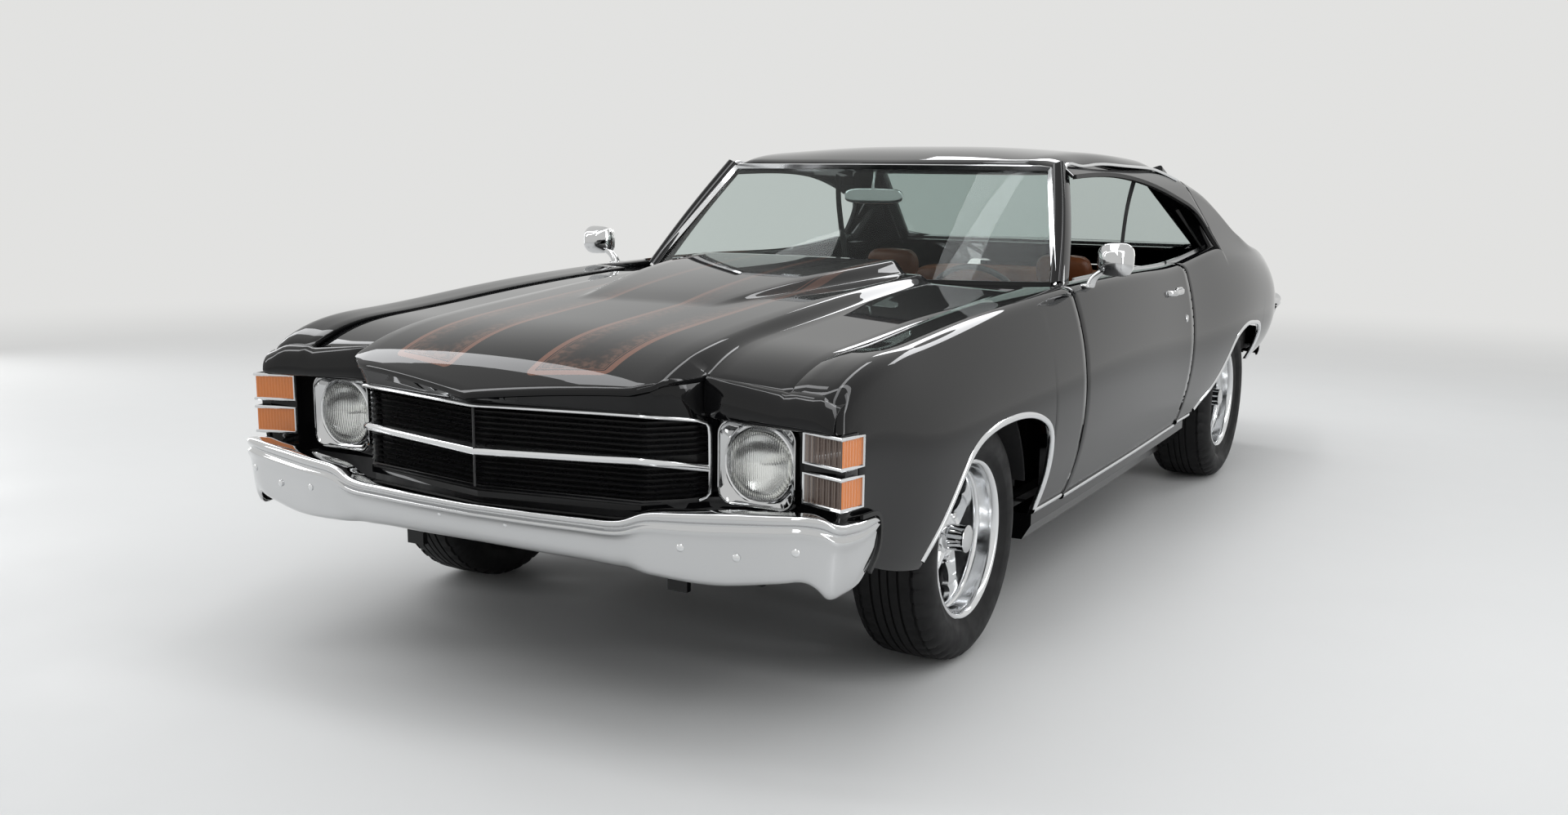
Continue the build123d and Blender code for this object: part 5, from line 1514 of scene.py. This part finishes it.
def soft(name, size, places, replaces, power=4.5, cap=0.010, channels=(), welts=(), pull=0.03,
         crown=10.0):
    """A padded form, swollen once and set at each place.

    channels are (axis, places, span) of sewn lines on its upper side, welts are heights of seams round it.
    """
    verts, faces = pillow(size, power, 16)
    a, b, _ = size
    shaped = []
    for x, y, z in verts:
        u, v = x / a, y / b
        x *= 1 - pull * (1 - v * v)
        y *= 1 - pull * (1 - u * u)
        if z > 0:
            z += crown * (1 - u * u) * (1 - v * v)
        shaped.append((x, y, z))
    mesh = bpy.data.meshes.new(name)
    mesh.from_pydata([tuple(k * MM for k in v) for v in shaped], [], faces)
    obj = bpy.data.objects.new(name, mesh)
    bpy.context.collection.objects.link(obj)
    work = bmesh.new()
    work.from_mesh(mesh)
    bmesh.ops.remove_doubles(work, verts=work.verts, dist=0.0006)
    bmesh.ops.recalc_face_normals(work, faces=work.faces)
    work.to_mesh(mesh)
    work.free()
    inflated(obj, cap)
    mesh = obj.data
    normals = [v.normal.copy() for v in mesh.vertices]
    for v, n in zip(mesh.vertices, normals):
        x, y, z = (k / MM for k in v.co)
        dent = 0.0
        if n.z > 0.3:
            for axis, lines, span in channels:
                t, other, reach = (x, y, b) if axis == "x" else (y, x, a)
                fade = 1 - smoothstep((abs(other) - span * reach) / (0.10 * reach))
                for line in lines:
                    dent += 7.0 * fade * math.exp(-(((t - line) / 6.0) ** 2))
        for level in welts:
            dent += 3.2 * math.exp(-(((z - level) / 4.0) ** 2))
        v.co -= n * dent * MM
    mesh.materials.append(looks["leather"].mat)
    shade(mesh, 180)
    for k, (label, place) in enumerate(places):
        target = obj if k == 0 else bpy.data.objects.new(label, mesh.copy())
        if k:
            bpy.context.collection.objects.link(target)
        target.name = label
    for label, place in places:
        target = bpy.data.objects[label]
        scaled = place.copy()
        scaled.translation = scaled.translation * MM
        target.data.transform(scaled)
        target.data.update()
        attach(target, "body")
        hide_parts(*replaces)


def tilted(x, y, z, degrees):
    return Matrix.Translation((x, y, z)) @ Matrix.Rotation(math.radians(degrees), 4, "X")


SEAT_X = 375.0
CHANNELS = (-150, -90, -30, 30, 90, 150)
REAR_CHANNELS = (-430, -350, -270, -190, 190, 270, 350, 430)


def seat_places(label, y, z, degrees):
    return [(f"{label}_{name}", tilted(SEAT_X * side, y, z, degrees)) for side, name in BOTH]


def make_seats():
    front, rear = ("front_seats",), ("rear_seat",)
    soft("seat_cushion", (232, 262, 78), seat_places("seat_cushion", 105, 418, -3), front,
         channels=(("x", CHANNELS, 0.62),), welts=(34, -40))
    soft("seat_back", (226, 212, 58), seat_places("seat_back", 472, 640, -72), front,
         channels=(("x", CHANNELS, 0.62),), welts=(30, -30))
    soft("headrest", (118, 66, 38), seat_places("headrest", 566, 900, -78), front, power=3.2,
         cap=0.006, welts=(0,), crown=6)
    posts = []
    for side, _ in BOTH:
        for dx in (-55, 55):
            path = [(SEAT_X * side + dx, 535, 815), (SEAT_X * side + dx, 556, 870)]
            posts.append(swept(path, circle(6, 10), (0, 1, 0)))
    piece("headrest_posts", *joined(*posts), "chrome", "leather", closed=True)
    soft("rear_cushion", (552, 205, 62), [("rear_cushion", tilted(0, 905, 462, -2))], rear,
         channels=(("x", REAR_CHANNELS, 0.6),), welts=(26,))
    soft("rear_back", (552, 200, 50), [("rear_back", tilted(0, 1108, 700, -78))], rear,
         channels=(("x", REAR_CHANNELS, 0.6),), welts=(22,))
    for side, name in BOTH:
        rows = [[(SEAT_X * side + x, y, z) for x, y in block(195, -60, 320)] for z in (300, 342)]
        piece(f"seat_base_{name}", *tube_between(rows), "vinyl", "leather", closed=True, bevel=6)


# Steering wheel: its middle, lean in degrees, radius of the rim's core and of the grip
WHEEL_MIDDLE = (370, -330, 790)
WHEEL_TILT = 22
WHEEL_R, GRIP_R = 180, 10
DASH_HALF = 684
DASH = ((-738, 905), (-700, 908), (-560, 914), (-470, 912), (-428, 900), (-404, 880), (-396, 862),
        (-404, 850), (-430, 846))
STRAP = ((640, 560, 1262), (628, 540, 1180), (612, 545, 1040), (600, 560, 900), (596, 520, 720),
         (590, 480, 560))


def make_steering():
    tilt = math.radians(WHEEL_TILT)
    axle = Vector((0, math.cos(tilt), math.sin(tilt)))
    up = Vector((0, -math.sin(tilt), math.cos(tilt)))
    middle = Vector(WHEEL_MIDDLE)
    rows = []
    for k in range(72):
        a = 2 * math.pi * k / 72
        out = Vector((math.cos(a), 0, 0)) + up * math.sin(a)
        row = []
        for j in range(12):
            b = 2 * math.pi * j / 12
            grip = 1 + 0.05 * math.cos(24 * a) * (math.cos(b) < 0)
            row.append(tuple(middle + out * (WHEEL_R + GRIP_R * math.cos(b) * grip)
                             + axle * GRIP_R * math.sin(b)))
        rows.append(row)
    rim = grid(rows, wrap=True, ring=True)
    piece("wheel_grip", *rim, "vinyl", "dash", body="steering_wheel", replaces=("steering_wheel",),
          closed=True)
    spokes = []
    for a in (0, 180, 270):
        out = Vector((math.cos(math.radians(a)), 0, 0)) + up * math.sin(math.radians(a))
        path = [middle + out * r - axle * (14 * (1 - r / 176)) for r in np.linspace(22, 174, 10)]
        spokes.append(swept(path, block(11, -2, 2), axle))
    piece("wheel_spokes", *joined(*spokes), "trim", "dash", body="steering_wheel", closed=True, bevel=0.6)
    hub = []
    for d, r in ((8, 30), (-12, 40), (-22, 38), (-27, 26), (-29, 0.5)):
        hub.append([tuple(middle + axle * d + Vector((math.cos(t), 0, 0)) * r + up * math.sin(t) * r)
                    for t in np.linspace(0, 2 * math.pi, 32, endpoint=False)])
    piece("wheel_hub", *tube_between(hub), "vinyl", "dash", body="steering_wheel", closed=True, angle=35)


def make_controls():
    """Steering wheel, instruments, padded dash, inside mirror and belts."""
    make_steering()
    dials = []
    for x, r in ((270, 42), (370, 48), (470, 42)):
        outline = [(0, r), (5, r), (6, r - 3), (2, r - 5), (2, 0.4)]
        dials.append(turned(outline, (x, -408, 812), "y", 36))
    piece("dials", *joined(*dials), "trim", "dash", closed=True, angle=35)
    rows = []
    for x in np.linspace(-DASH_HALF, DASH_HALF, 40):
        crown = 1 - (x / DASH_HALF) ** 8
        rows.append([(x, y, 846 + (z - 846) * (0.9 + 0.1 * crown)) for y, z in DASH])
    piece("dash_pad", *grid(rows), "vinyl", "dash", thick=4, angle=60)
    arm = through([(0, -396, 1284), (0, -404, 1250), (0, -412, 1216), (0, -410, 1200)], 12)
    piece("mirror_arm", *swept(arm, circle(5, 10), (0, 1, 0)), "chrome", "chrome", closed=True)
    place = Matrix.Translation((0, -408, 1187))
    rounded("inside_mirror", (112, 9, 27), place, "chrome", "chrome", power=3.4)
    for side, name in BOTH:
        path = through([(x * side, y, z) for x, y, z in STRAP], 30)
        piece(f"belt_{name}", *swept(path, block(22, -1.2, 1.2), (side, 0, 0)), "webbing", "dash",
              closed=True, angle=60)


# Rear and underside


# Tail lamps: x, y of the face. Outlines (outwards, radius)
TAIL_LAMPS = ((545, 2501), (735, 2490))
TAIL_DOME = ((-22, 60), (-2, 60), (3, 56), (6, 44), (6.5, 30), (7, 0.4))
TAIL_RING = ((-20, 66), (2, 68), (5, 66), (5, 62), (-2, 60), (-20, 60))
VALANCE = ((0, 2452), (600, 2448), (740, 2425), (800, 2370), (822, 2280))


def make_rear():
    """Tail lamps, sides of the trunk, the panel under the rear bumper and a slot in the bumper."""
    lenses, rings = [], []
    for side in (1, -1):
        for x, face in TAIL_LAMPS:
            centre = (x * side, face, 640)
            lenses.append(turned([(min(d, 2507.5 - face), r) for d, r in TAIL_DOME], centre, "y"))
            rings.append(turned([(min(d, 2507 - face), r) for d, r in TAIL_RING], centre, "y", closed=True))
    piece("tail_lens", *joined(*lenses), "red", "red_lens", replaces=("tail_lamps",), closed=True, angle=40)
    piece("tail_rings", *joined(*rings), "chrome", "chrome", closed=True, angle=40)
    for side, name in BOTH:
        edge = [(800, 1640), (790, 1800), (768, 2100), (754, 2250), (724, 2412)]
        rows = [[(x * side, y, z) for x, y in edge] for z in (466, 640)]
        piece(f"trunk_side_{name}", *grid(rows, side), "satin", "frame_black", thick=3)
    rows = [[(x, y - 6, 560), (x, y, 520), (x, y - 10, 452), (x * 0.995, y - 26, 432),
             (x * 0.99, y - 40, 430)] for x, y, _ in both_halves([(a, b, 0) for a, b in VALANCE])]
    piece("rear_valance", *grid(rows), "paint", "paint", thick=3, angle=50)
    seam = [(x, 2502.6, 604) for x in np.linspace(-96, 96, 9)]
    piece("rear_slot", *swept(seam, circle(2.4, 8), (0, 1, 0)), "seal", "chrome", closed=True)


RAIL = ((410, -2290, 418), (410, -2150, 414), (410, -2000, 330), (410, -1890, 245), (410, -1150, 245),
        (540, -1020, 245), (670, -900, 245), (670, 600, 245), (560, 760, 245), (470, 890, 250),
        (465, 980, 340), (465, 1070, 421), (465, 1640, 421), (465, 1740, 402), (465, 1830, 390),
        (465, 2380, 390))
CROSS = ((-2230, 380, 386), (-1555, 380, 210), (-700, 640, 210), (640, 612, 210), (1650, 436, 385),
         (2350, 436, 366))


def make_frame():
    """Rails with rounded box sections and the crossmembers between them."""
    forms = []
    section = rounded_square(33, 35, 8, 2)
    for side in (1, -1):
        path = [(x * side, y, z) for x, y, z in RAIL]
        dense = []
        for a, b in zip(path, path[1:]):
            dense += [tuple(lerp(p, q, t) for p, q in zip(a, b)) for t in (0, 0.34, 0.67)]
        dense.append(path[-1])
        sizes = [0.72 if y > 1740 or y < -2140 else 1.0 for x, y, z in dense]
        forms.append(swept(dense, section, (0, 0, 1), scales=sizes))
    for y, reach, low in CROSS:
        path = [(x, y, low + 32) for x in np.linspace(-reach, reach, 9)]
        forms.append(swept(path, rounded_square(34, 28, 8, 2), (0, 0, 1)))
    piece("frame_form", *joined(*forms), "satin", "frame_black", replaces=("frame",), closed=True, angle=40)


# How each CAD node that stays is dressed
LOOK = {
    "front_fender": "paint", "door_left": "paint", "door_right": "paint", "door_trim": "chrome",
    "quarter": "paint", "roof_shell": "paint", "windows": "glass", "hood": "paint", "deck": "paint",
    "cowl": "paint", "rockers": "paint", "floor_pan": "carpet", "inner_fenders": "satin", "frame": "satin",
    "nose_panel": "paint", "grille": "plastic", "headlamps": "lens", "lamp_bezels": "chrome",
    "marker_lamps": "amber", "front_bumper": "chrome", "rear_bumper": "chrome", "tail_lamps": "red",
    "engine": "iron", "front_suspension": "iron", "rear_axle": "iron", "knuckle": "iron",
    "front_seats": "leather", "rear_seat": "leather", "instrument_panel": "vinyl",
    "steering_wheel": "vinyl", "exhaust": "steel", "fuel_tank": "steel", "front_tyre": "rubber",
    "rear_tyre": "rubber", "front_rim": "alloy", "rear_rim": "alloy",
}


def dress_nodes():
    for name, obj in nodes.items():
        key = max((k for k in LOOK if name.startswith(k)), key=len)
        obj.data.materials.clear()
        obj.data.materials.append(looks[LOOK[key]].mat)


# Studio

# Ceiling lights that draw the bright streaks on the paint. Columns: x, y, z, width, length, watts
PANELS = (
    (-2.6, -2.5, 4.2, 0.5, 7.0, 60), (0.2, -1.0, 4.4, 0.5, 9.0, 60), (3.0, -1.0, 4.2, 0.5, 9.0, 60),
    (6.0, -1.0, 4.0, 0.9, 9.0, 90), (-5.5, 0.0, 3.6, 0.9, 9.0, 90), (0.5, 4.5, 4.2, 6.0, 0.6, 70),
)
BACKDROP = (0.76, 0.76, 0.75)


def looking_rays(tree):
    """1 for rays that see the background straight, in a reflection or through glass."""
    path = tree.nodes.new("ShaderNodeLightPath")
    total = path.outputs["Is Camera Ray"]
    for name in ("Is Glossy Ray", "Is Transmission Ray"):
        most = tree.nodes.new("ShaderNodeMath")
        most.operation = "MAXIMUM"
        tree.links.new(total, most.inputs[0])
        tree.links.new(path.outputs[name], most.inputs[1])
        total = most.outputs[0]
    return total


def make_studio():
    world = bpy.data.worlds.new("studio")
    bpy.context.scene.world = world
    world.use_nodes = True
    tree = world.node_tree
    shade_node = tree.nodes["Background"]
    shade_node.inputs["Color"].default_value = (0.93, 0.95, 0.97, 1)
    shade_node.inputs["Strength"].default_value = 0.62
    seen = tree.nodes.new("ShaderNodeBackground")
    seen.inputs["Color"].default_value = (*BACKDROP, 1)
    seen.inputs["Strength"].default_value = 1.0
    mix = tree.nodes.new("ShaderNodeMixShader")
    tree.links.new(looking_rays(tree), mix.inputs["Fac"])
    tree.links.new(shade_node.outputs[0], mix.inputs[1])
    tree.links.new(seen.outputs[0], mix.inputs[2])
    tree.links.new(mix.outputs[0], tree.nodes["World Output"].inputs["Surface"])
    for x, y, z, wide, deep, watts in PANELS:
        data = bpy.data.lights.new("panel", "AREA")
        data.shape = "RECTANGLE"
        data.size, data.size_y = wide, deep
        data.energy = watts
        data.color = (0.97, 0.98, 1.0)
        lamp = bpy.data.objects.new("panel", data)
        lamp.location = (x, y, z)
        aim = Vector((0, y * 0.3, 0.5)) - Vector((x, y, z))
        lamp.rotation_euler = aim.to_track_quat("-Z", "Y").to_euler()
        bpy.context.collection.objects.link(lamp)
    floor_mesh = bpy.data.meshes.new("floor")
    reach = 30.0
    corners = [(-reach, -reach, 0), (reach, -reach, 0), (reach, reach, 0), (-reach, reach, 0)]
    floor_mesh.from_pydata(corners, [], [(0, 1, 2, 3)])
    floor = bpy.data.objects.new("floor", floor_mesh)
    bpy.context.collection.objects.link(floor)
    look = Nodes("floor", (0.66, 0.66, 0.65), 0.35)
    look.vary("Roughness", 0.50, 0.66, 1.5)
    far = look.add("ShaderNodeVectorMath", Vector=look.place())
    far.operation = "LENGTH"
    away = look.step(far.outputs["Value"], 3.5, 11.0)
    share = look.math("MULTIPLY", away, looking_rays(look.tree))
    glow = look.add("ShaderNodeEmission", Color=(*BACKDROP, 1), Strength=1.0)
    blend = look.tree.nodes.new("ShaderNodeMixShader")
    look.tree.links.new(share, blend.inputs["Fac"])
    look.tree.links.new(look.shader.outputs[0], blend.inputs[1])
    look.tree.links.new(glow.outputs[0], blend.inputs[2])
    look.tree.links.new(blend.outputs[0], look.tree.nodes["Material Output"].inputs["Surface"])
    floor_mesh.materials.append(look.mat)


bpy.context.scene.view_settings.view_transform = "Standard"
make_camera()
make_studio()
dress_nodes()
make_fenders()
make_doors()
make_quarters()
make_roof()
make_hood()
make_deck()
make_header()
make_filler()
make_lamps()
make_markers()
make_grille()
make_bumpers()
make_wheels()
make_mouldings()
make_glass_trim()
make_mirrors()
make_seats()
make_controls()
make_rear()
make_frame()
